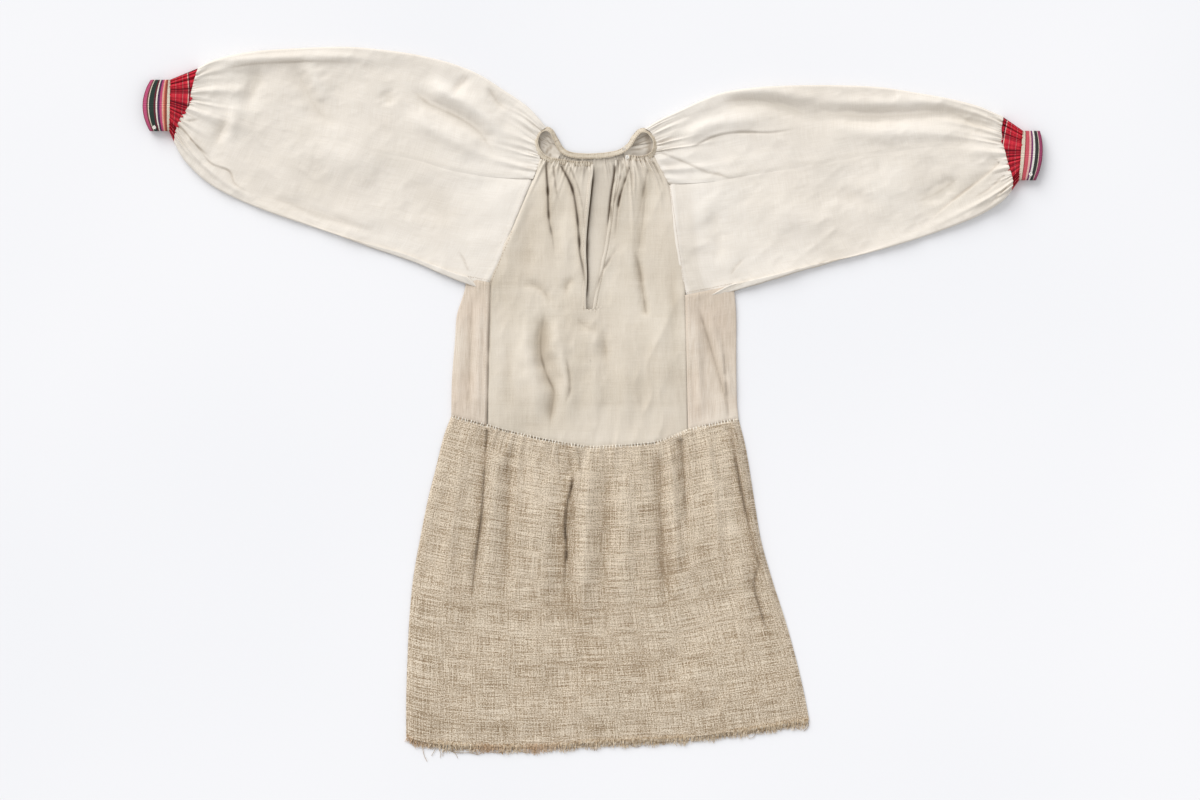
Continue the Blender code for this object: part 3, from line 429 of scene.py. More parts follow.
rightSleeveFolds = (
    (((207, 491), (270, 494), (320, 481), (353, 467), (385, 467)), 13, -1.6, 0.5, 0, 0.2, 0.5),
    (((200, 503), (280, 506), (350, 498), (420, 492)), 12, 1.8, 0, 0, 0.2, 0.4),
    (((338, 473), (454, 467), (519, 470), (582, 473), (621, 454), (655, 444)), 13, -1.8, 0.4, 0, 0.3, 0.1),
    (((360, 492), (460, 488), (560, 488), (620, 472)), 12, 1.7, 0, 0, 0.3, 0.3),
    (((162, 416), (196, 434), (238, 442), (296, 442), (357, 454)), 9, 0, 1.5, 1.0, 0.1, 0.6),
    (((150, 432), (200, 455), (250, 462), (310, 462)), 12, 1.6, 0, 0, 0.1, 0.5),
    (((380, 446), (470, 440), (560, 442), (630, 430)), 15, 1.7, 0, 0, 0.3, 0.3),
    (((115, 408), (155, 392), (186, 378), (207, 374), (228, 368), (265, 374)), 7, 0, 1.6, 1.2, 0, 0.5),
    (((660, 392), (629, 365), (569, 319), (532, 284)), 11, -0.7, 2.0, 1.5, 0, 0.5),
    (((668, 371), (637, 345), (608, 331)), 8, 0, 1.4, 0.9, 0, 0.6),
    (((671, 352), (650, 331), (637, 315)), 7, 0, 1.2, 0.7, 0, 0.6),
    (((372, 349), (424, 336), (480, 323)), 14, -1.1, 0, 0, 0.4, 0.5),
    (((600, 372), (560, 344), (520, 326)), 12, -1.6, 0.8, 0, 0.3, 0.5),
    (((560, 380), (480, 350), (400, 320)), 34, 1.4, 0, 0, 0.4, 0.4),
    (((250, 320), (330, 300), (420, 300)), 30, 1.2, 0, 0, 0.4, 0.4),
    (((251, 242), (236, 226), (225, 211)), 6, 0, 1.3, 0.7, 0.4, 0.1),
    (((196, 330), (204, 270), (214, 224)), 11, -0.9, 0, 0, 0.3, 0.4))


# Making and placing pieces

def pickOnly(item):
    bpy.ops.object.select_all(action="DESELECT")
    bpy.context.view_layer.objects.active = item
    item.select_set(True)


def addGrid(name, points, coordinates, tint=None, tone=None):
    # A grid primitive whose vertices go where the arrays say: rows, columns, then x, y, z in millimetres.
    points = np.asarray(points)
    rows, columns = points.shape[:2]
    bpy.ops.object.select_all(action="DESELECT")
    bpy.ops.mesh.primitive_grid_add(x_subdivisions=columns - 1, y_subdivisions=rows - 1, size=2)
    item = bpy.context.object
    item.name = name
    mesh = item.data
    mesh.name = name
    flat = np.empty(len(mesh.vertices) * 3)
    mesh.vertices.foreach_get("co", flat)
    flat = flat.reshape(-1, 3)
    column = np.rint((flat[:, 0] + 1) / 2 * (columns - 1)).astype(int)
    row = np.rint((flat[:, 1] + 1) / 2 * (rows - 1)).astype(int)
    placed = points[row, column] * mm
    placed[:, :2] -= boxMiddle * mm
    mesh.vertices.foreach_set("co", placed.ravel())
    corner = np.empty(len(mesh.loops), dtype=np.int32)
    mesh.loops.foreach_get("vertex_index", corner)
    spread = np.asarray(coordinates)[row, column] * mm
    mesh.uv_layers[0].data.foreach_set("uv", spread[corner].ravel())
    # The crease and tone attributes carry painted shade, and painted light on the back panel, to the
    # materials.
    for label, values in (("crease", tint), ("tone", tone)):
        if values is not None:
            shade = mesh.attributes.new(label, "FLOAT", "POINT")
            shade.data.foreach_set("value", np.asarray(values)[row, column].astype(np.float32))
    mesh.update()
    return item


def turnOutward(item, rowFaces, facing=1):
    # Turns the faces over when those of the first rows look the wrong way.
    total = sum(item.data.polygons[i].normal.z for i in range(rowFaces))
    if total * facing < 0:
        item.data.flip_normals()
        item.data.update()


def closeTube(item, distance=0.02):
    # Welds the seam of a tube and turns its faces outward.
    pickOnly(item)
    bpy.ops.object.mode_set(mode="EDIT")
    bpy.ops.mesh.select_all(action="SELECT")
    bpy.ops.mesh.remove_doubles(threshold=distance * mm)
    bpy.ops.mesh.select_all(action="SELECT")
    bpy.ops.mesh.normals_make_consistent(inside=False)
    bpy.ops.object.mode_set(mode="OBJECT")


def finishPiece(item, material, slot, nodes=(), wall=0):
    # Gives cloth its wall, keeps it above the table, and rides it on the body.
    pickOnly(item)
    if wall:
        modifier = item.modifiers.new("Wall", "SOLIDIFY")
        modifier.thickness = wall * mm
        modifier.offset = -1
        bpy.ops.object.modifier_apply(modifier=modifier.name)
    for point in item.data.vertices:
        point.co.z = max(0.0, point.co.z)
    bpy.ops.object.shade_smooth_by_angle(angle=math.radians(58))
    item.data.materials.clear()
    item.data.materials.append(material)
    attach(item, "root")
    if nodes:
        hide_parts(*nodes)
    return item


def clothCoordinates(points, acrossStep):
    # Cloth coordinates: even steps along the columns, true length down the rows.
    down = np.linalg.norm(np.diff(points, axis=0), axis=2)
    down = np.vstack([np.zeros((1, points.shape[1])), np.cumsum(down, axis=0)])
    along = np.broadcast_to(np.asarray(acrossStep, float)[None, :], down.shape)
    return np.stack([along, down], -1)


# Materials

def plug(tree, socket, value):
    # A number or colour is set on the socket, and an output is linked to it.
    if isinstance(value, (int, float)):
        socket.default_value = value
    elif isinstance(value, tuple):
        socket.default_value = value if len(socket.default_value) == 3 else (*value, 1)
    else:
        tree.links.new(value, socket)


def mathNode(tree, operation, first, second=None, clamp=False):
    node = tree.nodes.new("ShaderNodeMath")
    node.operation = operation
    node.use_clamp = clamp
    plug(tree, node.inputs[0], first)
    if second is not None:
        plug(tree, node.inputs[1], second)
    return node.outputs[0]


def times(tree, first, second, clamp=False):
    return mathNode(tree, "MULTIPLY", first, second, clamp)


def addUp(tree, *terms, clamp=False):
    total = terms[0]
    for i, term in enumerate(terms[1:], 2):
        total = mathNode(tree, "ADD", total, term, clamp and i == len(terms))
    return total


def around(tree, value, middle=0.5):
    return mathNode(tree, "SUBTRACT", value, middle)


def sineOf(tree, value, pace):
    return mathNode(tree, "SINE", times(tree, value, pace))


def vectorNode(tree, operation, first, second):
    node = tree.nodes.new("ShaderNodeVectorMath")
    node.operation = operation
    plug(tree, node.inputs[0], first)
    plug(tree, node.inputs["Scale" if operation == "SCALE" else 1], second)
    return node.outputs[0]


def noiseNode(tree, vector, scale, detail=2.0, roughness=0.5):
    node = tree.nodes.new("ShaderNodeTexNoise")
    node.inputs["Scale"].default_value = scale
    node.inputs["Detail"].default_value = detail
    node.inputs["Roughness"].default_value = roughness
    tree.links.new(vector, node.inputs["Vector"])
    return node.outputs["Fac"]


def mixColour(tree, factor, first, second, blend="MIX"):
    node = tree.nodes.new("ShaderNodeMix")
    node.data_type = "RGBA"
    node.blend_type = blend
    for socket, value in ((0, factor), (6, first), (7, second)):
        plug(tree, node.inputs[socket], value)
    return node.outputs[2]


def rampNode(tree, factor, stops, interpolation="LINEAR"):
    node = tree.nodes.new("ShaderNodeValToRGB")
    node.color_ramp.interpolation = interpolation
    while len(node.color_ramp.elements) < len(stops):
        node.color_ramp.elements.new(1.0)
    for element, (position, colour) in zip(node.color_ramp.elements, stops):
        element.position = position
        element.color = (*colour, 1)
    tree.links.new(factor, node.inputs[0])
    return node.outputs[0]


def splitVector(tree, vector):
    parts = tree.nodes.new("ShaderNodeSeparateXYZ")
    tree.links.new(vector, parts.inputs[0])
    return parts.outputs


def paintedValue(tree, name):
    painted = tree.nodes.new("ShaderNodeAttribute")
    painted.attribute_name = name
    return painted.outputs["Fac"]


def plainWeaveGroup():
    # Threads that pass over and under, with slubs along both ways of the cloth.
    group = bpy.data.node_groups.new("plainWeave", "ShaderNodeTree")
    face = group.interface
    face.new_socket("Cloth", in_out="INPUT", socket_type="NodeSocketVector")
    for name, value in (("Threads", 1400), ("Unevenness", 0.6), ("Streak scale", 1.0)):
        socket = face.new_socket(name, in_out="INPUT", socket_type="NodeSocketFloat")
        socket.default_value = value
    for name in ("Height", "Weft streaks", "Warp streaks", "Grain"):
        face.new_socket(name, in_out="OUTPUT", socket_type="NodeSocketFloat")
    inside = group.nodes.new("NodeGroupInput")
    outside = group.nodes.new("NodeGroupOutput")
    cloth = inside.outputs["Cloth"]
    wander = noiseNode(group, cloth, 90, 1).node.outputs["Color"]
    centred = vectorNode(group, "SUBTRACT", wander, (0.5, 0.5, 0.5))
    scaled = vectorNode(group, "SCALE", centred, inside.outputs["Unevenness"])
    counted = vectorNode(group, "SCALE", cloth, inside.outputs["Threads"])
    parts = splitVector(group, vectorNode(group, "ADD", counted, scaled))
    warp = sineOf(group, parts[0], math.pi)
    weft = sineOf(group, parts[1], math.pi)
    over = mathNode(group, "GREATER_THAN", times(group, warp, weft), 0.0)
    under = mathNode(group, "SUBTRACT", 1.0, over)
    warpHigh = times(group, mathNode(group, "ABSOLUTE", warp), over)
    weftHigh = times(group, mathNode(group, "ABSOLUTE", weft), under)
    group.links.new(addUp(group, warpHigh, weftHigh), outside.inputs["Height"])
    stretched = vectorNode(group, "SCALE", cloth, inside.outputs["Streak scale"])
    for name, sizes in (("Weft streaks", (24, 900, 1)), ("Warp streaks", (860, 27, 1))):
        streak = noiseNode(group, vectorNode(group, "MULTIPLY", stretched, sizes), 1.0, 3, 0.62)
        group.links.new(streak, outside.inputs[name])
    group.links.new(noiseNode(group, stretched, 620, 2, 0.6), outside.inputs["Grain"])
    return group


weaveGroup = plainWeaveGroup()


def startMaterial(name, roughness, specular):
    # A new material's tree and shader, and the texture coordinates for it.
    material = bpy.data.materials.new(name)
    material.use_nodes = True
    tree = material.node_tree
    shader = tree.nodes["Principled BSDF"]
    shader.inputs["Roughness"].default_value = roughness
    shader.inputs["Specular IOR Level"].default_value = specular
    place = tree.nodes.new("ShaderNodeTexCoord")
    return material, tree, shader, place.outputs["UV"], place.outputs["Object"]


def addBump(tree, shader, height, strength, distance):
    bump = tree.nodes.new("ShaderNodeBump")
    bump.inputs["Strength"].default_value = strength
    bump.inputs["Distance"].default_value = distance * mm
    tree.links.new(height, bump.inputs["Height"])
    tree.links.new(bump.outputs["Normal"], shader.inputs["Normal"])


def clothMaterial(name, look):
    # Look: shade, light and dark colours, thread count, how strong streaks, grain and patches are.
    material, tree, shader, cloth, place = startMaterial(name, look["roughness"], 0.18)
    shader.inputs["Sheen Weight"].default_value = look["sheen"]
    shader.inputs["Sheen Roughness"].default_value = 0.55
    weave = tree.nodes.new("ShaderNodeGroup")
    weave.node_tree = weaveGroup
    for socket, key in (("Threads", "threads"), ("Unevenness", "unevenness"),
                        ("Streak scale", "streakScale")):
        weave.inputs[socket].default_value = look[key]
    tree.links.new(cloth, weave.inputs["Cloth"])
    weft = around(tree, weave.outputs["Weft streaks"])
    warp = around(tree, weave.outputs["Warp streaks"])
    grain = around(tree, weave.outputs["Grain"])
    patches = around(tree, noiseNode(tree, place, 7, 3))
    gaps = around(tree, weave.outputs["Height"], 0.6)
    bands = around(tree, noiseNode(tree, vectorNode(tree, "MULTIPLY", cloth, (1.6, 42, 1)), 1.0, 2))
    mixed = [times(tree, value, look[key]) for value, key in (
        (weft, "weftStreaks"), (warp, "warpStreaks"), (grain, "grain"), (patches, "patches"), (gaps, "gaps"),
        (bands, "bands"))]
    # The painted tone attribute moves the colour along the ramp; along folds, inside the neck and on the
    # back panel it is painted shade and light.
    tone = addUp(tree, *mixed, paintedValue(tree, "tone"), 0.5, clamp=True)
    colour = rampNode(tree, tone, ((0.0, look["dark"]), (0.5, look["colour"]), (1.0, look["light"])))
    tinge = times(tree, noiseNode(tree, place, 11, 1), look["tinge"])
    colour = mixColour(tree, tinge, colour, look["tingeColour"])
    # Painted shade: the crease attribute darkens the colour towards creaseColour in creases and grooves.
    creaseShade = times(tree, paintedValue(tree, "crease"), look["creaseTint"], clamp=True)
    colour = mixColour(tree, creaseShade, colour, look["creaseColour"])
    tree.links.new(colour, shader.inputs["Base Color"])
    relief = addUp(tree, weave.outputs["Height"], times(tree, weft, 1.6), times(tree, warp, 1.2))
    addBump(tree, shader, relief, look["bump"], look["threadHeight"])
    return material


# creaseColour and creaseTint set the painted shade in creases and grooves.
sleeveLook = {"colour": (0.745, 0.69, 0.615), "light": (0.82, 0.775, 0.71), "dark": (0.655, 0.60, 0.52),
              "threads": 1300, "streakScale": 1.0, "unevenness": 0.7, "weftStreaks": 0.9,
              "warpStreaks": 0.9, "grain": 0.5, "patches": 1.1, "bands": 0.3, "gaps": 0.3, "tinge": 0.16,
              "tingeColour": (0.76, 0.67, 0.61), "creaseTint": 0.75, "creaseColour": (0.30, 0.235, 0.165),
              "roughness": 0.9, "sheen": 0.12, "bump": 0.5, "threadHeight": 0.16}
sleeveLinen = clothMaterial("sleeveLinen", sleeveLook)
bodyLook = dict(sleeveLook, colour=(0.645, 0.58, 0.482), light=(0.76, 0.70, 0.61), dark=(0.455, 0.39, 0.30),
                weftStreaks=0.55, warpStreaks=0.55, patches=1.3, tingeColour=(0.62, 0.51, 0.43), tinge=0.2,
                creaseColour=(0.08, 0.05, 0.027), creaseTint=1.0)
bodyLinen = clothMaterial("bodyLinen", bodyLook)
sideLook = dict(bodyLook, colour=(0.63, 0.552, 0.456), tingeColour=(0.66, 0.50, 0.41), tinge=0.35,
                warpStreaks=1.6)
sideLinen = clothMaterial("sideLinen", sideLook)
skirtLook = {"colour": (0.555, 0.44, 0.31), "light": (0.84, 0.74, 0.60), "dark": (0.26, 0.185, 0.11),
             "threads": 450, "streakScale": 0.78, "unevenness": 1.3, "weftStreaks": 4.3, "warpStreaks": 3.0,
             "grain": 4.6, "patches": 0.35, "bands": 0.8, "gaps": 1.4, "tinge": 0.22,
             "tingeColour": (0.46, 0.34, 0.24), "creaseTint": 0.8, "creaseColour": (0.10, 0.066, 0.035),
             "roughness": 0.95, "sheen": 0.1, "bump": 0.9, "threadHeight": 0.45}
skirtLinen = clothMaterial("skirtLinen", skirtLook)
print("cloth materials made")


# Sleeves
sleeveSize = {"wall": 0.7, "lie": 5.4, "roll": 3.0, "columns": 172, "frontRows": 86, "edgeRows": 12,
              "backRows": 50, "hiddenRows": 9, "cuffHeight": 15.0, "cuffSwell": 75, "neckSwell": 60,
              "length": 575, "seamReach": 128.0, "bandHeight": 7.0, "crumple": (2.1, 1.1, 0.4, 1.0),
              "cuffGathers": (20, 4.2, 48, 11), "cuffRuffle": (42, 1.5, 15, 17),
              "neckGathers": (17, 3.6, 36), "neckRuffle": (34, 2.0, 15), "backGathers": (18, 2.3, 24)}


def seamStrip(apart, side=1.0):
    # A felled seam: the cloth dips at the seam and stands a little proud over the turned edge.
    dip = -1.5 * hill(apart, 1.6)
    strip = 0.75 * stepUp((apart - 2.0) * 2) * stepUp((8.5 - apart) * 1.8)
    line = -0.35 * hill(apart - 9.2, 1.0)
    return dip + (strip + line) * side


def rollOver(front, us, inset, edgeHeight, steps):
    # Spots and heights round the folded edge of a cloth, from its top to its underside.
    for angle in np.linspace(90, -90, steps + 2)[1:-1]:
        lean = math.radians(angle)
        yield front(us, 1 - inset * (1 - math.cos(lean))), edgeHeight / 2 * (1 + math.sin(lean))


def splitRows(rows):
    # Points, tints and tones from rows of spot, rise, tint and tone.
    points = np.array([np.column_stack(row[:2]) for row in rows])
    return points, [row[2] for row in rows], [row[3] for row in rows]


def sleevePiece(name, node, upper, seam, seamBack, edge, cuff, neck, neckBack, seed, flatSize):
    size = sleeveSize
    front = patch(smoothCurve(seam), smoothCurve(edge), softCurve(cuff), softCurve(neck))
    back = patch(smoothCurve(seamBack), smoothCurve(edge), softCurve(cuff), softCurve(neckBack))
    us = np.linspace(0, 1, size["columns"]) ** 1.12
    fromCuff = us * size["length"]
    fromNeck = (1 - us) * size["length"]
    folds = leftSleeveFolds if "left" in node else rightSleeveFolds
    half = 1 if upper else -1

    def frontRow(w):
        spot = front(us, w)
        relief, tint, shade = foldRelief(spot, folds, foldGains["sleeveLift"])
        rise = size["lie"] + relief + crumple(spot, size["crumple"], seed)
        rise = rise + (size["cuffHeight"] - size["lie"] - 2.0) * hill(fromCuff, size["cuffSwell"])
        cuffShare = 0.5 + 0.5 * half * w
        rise = rise + gatherRidges(cuffShare, fromCuff, *size["cuffGathers"])
        ruffle = gatherRidges(cuffShare, fromCuff, *size["cuffRuffle"])
        rise = rise + ruffle
        # Painted shade in the grooves of the cuff and neck ruffles.
        tint = np.maximum(tint, ruffleTint(ruffle, 1.1, 0.8))
        if upper:
            rise = rise + 2.2 * hill(fromNeck, size["neckSwell"])
            rise = rise + gatherRidges(w, fromNeck, *size["neckGathers"], 23 + seed)
            ruffle = gatherRidges(w, fromNeck, *size["neckRuffle"], 27 + seed)
            rise = rise + ruffle
            tint = np.maximum(tint, ruffleTint(ruffle, 1.1, 0.95))
        rise = softFloor(rise)
        apart = w * size["seamReach"]
        shown = 0.25 + 0.75 * easeIn((us - 0.5) / 0.3)
        rise = rise - 0.5 * shown * hill(apart, 1.4)
        if upper:
            rise = rise + 0.35 * shown * stepUp((apart - 1.5) * 2) * stepUp((7 - apart) * 1.8)
            band = hill(fromNeck, 7.0)
            rise = rise * (1 - band) + size["bandHeight"] * band
        else:
            rise = rise + seamStrip(fromNeck, 1.2)
        return spot, rise, tint, shade

    def toneOf(w):
        # Whiter cloth near the neck, and on the right a beiger strip beside the raglan seam.
        tone = 0.28 * hill(fromNeck, 110)
        if node == "sleeve_right_lower":
            tone = tone - 0.62 * stepUp(fromNeck - 9) * stepUp((36 - fromNeck) * 0.6) * (0.5 + 0.5 * w)
        if node == "sleeve_right_upper":
            tone = tone + 0.25 * hill(w, 0.2) * hill(fromNeck, 70)
        return tone

    across = np.linalg.norm(front(us, 1.0) - front(us, 0.0), axis=-1)
    estimate = frontRow(0.97)[1]
    estimate = np.convolve(np.pad(estimate, 12, mode="edge"), np.ones(25) / 25, mode="valid")
    inset = np.minimum(0.5 * (estimate + size["roll"]), 0.04 * across + 2.2) / across
    edgeHeight = frontRow(1 - inset)[1] + size["roll"]
    rows = []
    for t in np.linspace(0, 1, size["frontRows"]):
        w = t * (1 - inset)
        spot, rise, tint, shade = frontRow(w)
        rise = rise + size["roll"] * hill((1 - inset - w) * across, 22)
        rows.append((spot, rise, tint, toneOf(w) + shade))
    for spot, rise in rollOver(front, us, inset, edgeHeight, size["edgeRows"]):
        rows.append((spot, rise, 0 * us, toneOf(1)))
    for t in np.linspace(0, 1, size["backRows"] if upper else size["hiddenRows"]):
        w = (1 - t) * (1 - inset)
        spot = back(us, w)
        rise = 0.35 * (1 + latticeNoise(spot[:, 0], spot[:, 1], 26, seed + 9)) * easeIn((1 - t) * 4)
        backShade = 0 * us
        if upper:
            rise = rise + 4.8 * hill(fromNeck, 13, 1.5)
            ridges = gatherRidges(w, fromNeck, *size["backGathers"], 41 + seed)
            rise = np.maximum(0, rise + ridges)
            # Painted shade in the back gathers near the neck and inside the loops.
            backShade = ruffleTint(ridges, 0.8, 0.9) * np.exp(-fromNeck / 26)
            backShade = np.maximum(backShade, neckShade(spot))
        # The tone also darkens the back layer near the neck: painted shade.
        rows.append((spot, rise, backShade, toneOf(w) - 1.1 * hill(fromNeck, 40) * upper))
    points, tints, tones = splitRows(rows)
    item = addGrid(name, points, clothCoordinates(points, fromCuff), tints, tones)
    turnOutward(item, size["columns"] - 1)
    finishPiece(item, sleeveLinen, "sleeve_linen", (node,), size["wall"])
    return item


sleeveParts = (
    ("leftSleeveUpper", "sleeve_left_upper", True, leftSeam, leftSeamBack, leftTop, leftCuffUpper,
     leftNeckFront, leftNeckBack, 5, (0.60, 0.27)),
    ("leftSleeveLower", "sleeve_left_lower", False, leftSeam, leftSeamBack, leftBottom, leftCuffLower,
     leftArmFront, leftArmBack, 5, (0.58, 0.27)),
    ("rightSleeveUpper", "sleeve_right_upper", True, rightSeam, rightSeamBack, rightTop, rightCuffUpper,
     rightNeckFront, rightNeckBack, 29, (0.60, 0.25)),
    ("rightSleeveLower", "sleeve_right_lower", False, rightSeam, rightSeamBack, rightBottom, rightCuffLower,
     rightArmFront, rightArmBack, 29, (0.58, 0.27)))
frontPieces = [sleevePiece(*part) for part in sleeveParts]
print("sleeves made")


# Body
bodySize = {"wall": 0.7, "lie": 7.4, "halfColumns": 116, "rows": 140, "length": 430, "neckHeight": 8.4,
            "crumple": (2.4, 1.5, 0.5, 2.4), "neckGathers": (30, 3.4, 34, 67),
            "waistGathers": (30, 0.7, 14, 71), "neckRuffle": (58, 3.6, 9, 73), "sewnLow": 1.7}


def halfPanel(left):
    if left:
        return patch(smoothCurve(panelTopLeft), stretch(waistCurve, seamShareLeft, slitShare),
                     softCurve(panelLeft), softCurve(slitLeft))
    return patch(smoothCurve(panelTopRight), stretch(waistCurve, slitShare, seamShareRight),
                 softCurve(slitRight), softCurve(panelRight))


def frontHeight(spot, across, share):
    size = bodySize
    fromTop = share * size["length"]
    fromWaist = (1 - share) * size["length"]
    relief, tint, shade = foldRelief(spot, bodyFolds)
    rise = size["lie"] + relief + crumple(spot, size["crumple"], 61)
    rise = rise + 1.6 * hill(fromTop, 60)
    rise = rise + gatherRidges(across, fromTop, *size["neckGathers"])
    rise = rise + gatherRidges(across, fromWaist, *size["waistGathers"])
    rise = softFloor(rise)
    band = hill(fromTop, 7.0)
    ruffle = gatherRidges(across, fromTop, *size["neckRuffle"])
    rise = rise * (1 - band) + size["neckHeight"] * band + ruffle
    rise = rise - 0.9 * hill(fromWaist, 2.0)
    shade = shade + 0.16 * hill(fromTop, 190)
    # Painted shade in the grooves of the neck ruffle.
    return rise, np.maximum(tint, ruffleTint(ruffle, 0.9, 0.9)), shade


def placeAlong(points):
    return np.stack([points[..., 0] + 200, points[..., 1]], -1)


def frontPanelPiece():
    size = bodySize
    down = np.linspace(0, 1, size["rows"])[:, None]
    t = np.linspace(0, 1, size["halfColumns"])[None, :]
    halves = []
    for left in (True, False):
        spot = halfPanel(left)(t, down)
        across = 0.5 * t if left else 0.5 + 0.5 * t
        rise, tint, shade = frontHeight(spot, across + 0 * down, down + 0 * t)
        width = np.linalg.norm(spot[:, -1] - spot[:, 0], axis=-1)[:, None]
        fromSlit = (1 - t if left else t) * width
        fromSeam = (t if left else 1 - t) * width
        rise = rise + seamStrip(fromSeam, 0.15) * np.clip(down / 0.06, 0, 1)
        openShare = easeIn((spot[..., 1] - 146) / 22)
        rise = rise - size["sewnLow"] * hill(fromSeam, 14)
        hemRise = 0.9 * stepUp((5.0 - fromSlit) * 2.0) - 0.5 * hill(fromSlit - 6.2, 0.9)
        rise = rise + hemRise * openShare - 1.0 * hill(fromSlit, 1.2) * openShare
        halves.append((np.dstack([spot, rise]), tint, shade))
    points, tint, shade = (np.concatenate([halves[0][k], halves[1][k]], axis=1) for k in range(3))
    item = addGrid("frontPanelCloth", points, placeAlong(points), tint, shade)
    turnOutward(item, 2 * size["halfColumns"] - 1)
    openSlit(item, points.shape[1])
    finishPiece(item, bodyLinen, "body_linen", ("front_panel",), size["wall"])
    return item


def openSlit(item, columns):
    # Takes out the faces that bridge the slit and welds the halves below it.
    cloth = bmesh.new()
    cloth.from_mesh(item.data)
    leftEdge = bodySize["halfColumns"] - 1
    cloth.faces.ensure_lookup_table()
    bridging = [face for face in cloth.faces
                if {leftEdge, leftEdge + 1} <= {vertex.index % columns for vertex in face.verts}]
    bmesh.ops.delete(cloth, geom=bridging, context="FACES_ONLY")
    low = [vertex for vertex in cloth.verts if vertex.index % columns in (leftEdge, leftEdge + 1)]
    bmesh.ops.remove_doubles(cloth, verts=low, dist=0.3 * mm)
    cloth.to_mesh(item.data)
    cloth.free()


frontPieces.append(frontPanelPiece())
# backSize tone is painted light: it lightens the back panel, which lies in shade under the front.
backSize = {"wall": 0.7, "columns": 190, "rows": 84, "length": 440, "gathers": (24, 2.0, 30, 83),
            "crumple": (0.3, 0.2, 0.15, 2.0), "tone": 0.2}


def backPanelPiece():
    size = backSize
    bottom = stretch(waistCurve, seamShareLeft, seamShareRight)
    shape = patch(smoothCurve(backTop), bottom, softCurve(backLeft), softCurve(backRight))
    u = np.linspace(0, 1, size["columns"])[None, :]
    w = (np.linspace(0, 1, size["rows"]) ** 1.5)[:, None]
    spot = shape(u, w)
    fromTop = w * size["length"] + 0 * u
    rise = 3.0 * hill(fromTop, 14, 1.5) + gatherRidges(u + 0 * w, fromTop, *size["gathers"])
    rise = rise + 0.5 + crumple(spot, size["crumple"], 87)
    rise = np.maximum(0, rise)
    points = np.dstack([spot, rise])
    # Painted shade: darker under the neckband's edge, along the slit and loops, and in the gather grooves.
    tint = np.maximum(neckShade(spot), 0.5 * hill(fromTop, 8))
    tint = np.maximum(tint, ruffleTint(rise - 1.5, 0.6, 0.25) * np.exp(-fromTop / 40))
    item = addGrid("backPanelCloth", points, placeAlong(points), tint, np.full(rise.shape, size["tone"]))
    turnOutward(item, size["columns"] - 1, -1)
    finishPiece(item, bodyLinen, "body_linen", ("back_panel",), size["wall"])
    return item


backPanelPiece()
sideSize = {"wall": 0.7, "columns": 84, "frontRows": 34, "edgeRows": 9, "backRows": 8, "length": 230,
            "turn": 3.4, "topGathers": (9, 0.9, 30), "waistGathers": (9, 0.9, 26)}


def sidePiece(name, node, seam, topEdge, outline, waistSeam, waistEdge, seed):
    size = sideSize
    front = patch(cornerCurve(seam), smoothCurve(outline), cornerCurve(topEdge),
                  stretch(waistCurve, waistSeam, waistEdge))
    us = np.linspace(0, 1, size["columns"])
    fromTop = us * size["length"]
    fromWaist = (1 - us) * size["length"]
    across = np.linalg.norm(front(us, 1.0) - front(us, 0.0), axis=-1)
    inset = size["turn"] / across
    rows = []
    for t in np.linspace(0, 1, size["frontRows"]):
        w = t * (1 - inset)
        spot = front(us, w)
        relief, tint, shade = foldRelief(spot, bodyFolds)
        rise = bodySize["lie"] + relief + crumple(spot, bodySize["crumple"], 61)
        rise = rise + gatherRidges(w, fromTop, *size["topGathers"], seed)
        rise = rise + gatherRidges(w, fromWaist, *size["waistGathers"], seed + 1)
        rise = softFloor(rise) + seamStrip(w * across, 0.7)
        rise = rise - 1.2 * hill(fromTop, 2.0) - 1.6 * hill(fromWaist, 2.2)
        rise = rise - 2.0 * easeIn((w - 0.5) / 0.5)
        rows.append((spot, rise, tint, shade))
    for spot, rise in rollOver(front, us, inset, rows[-1][1], size["edgeRows"]):
        rows.append((spot, rise, 0 * us, 0 * us))
    for t in np.linspace(0, 1, size["backRows"]):
        rows.append((front(us, (1 - t) * (1 - inset)), 0 * us, 0 * us, 0 * us))
    points, tints, tones = splitRows(rows)
    item = addGrid(name, points, clothCoordinates(points, fromTop)[..., ::-1], tints, tones)
    turnOutward(item, size["columns"] - 1)
    finishPiece(item, sideLinen, "body_linen", (node,), size["wall"])
    return item


frontPieces.append(sidePiece("sidePanelLeftCloth", "side_panel_left", sideSeamLeft, sideTopLeft, bodyLeft,
                             seamShareLeft, 0, 91))
frontPieces.append(sidePiece("sidePanelRightCloth", "side_panel_right", sideSeamRight, sideTopRight,
                             bodyRight, seamShareRight, 1, 97))
print("body made")


# Skirt
skirtSize = {"wall": 1.1, "lie": 7.6, "hemLie": 3.0, "edgeLie": 2.4, "columns": 250, "rows": 136,
             "backColumns": 64, "backRows": 40, "length": 520, "width": 600, "gathers": (34, 3.2, 60, 103),
             "crumple": (2.3, 0.9, 0.4, 2.0), "backCrumple": (0.15, 0.15, 0.1, 1.2)}
skirtShape = patch(waistCurve, hemCurve, smoothCurve(skirtLeft), smoothCurve(skirtRight))


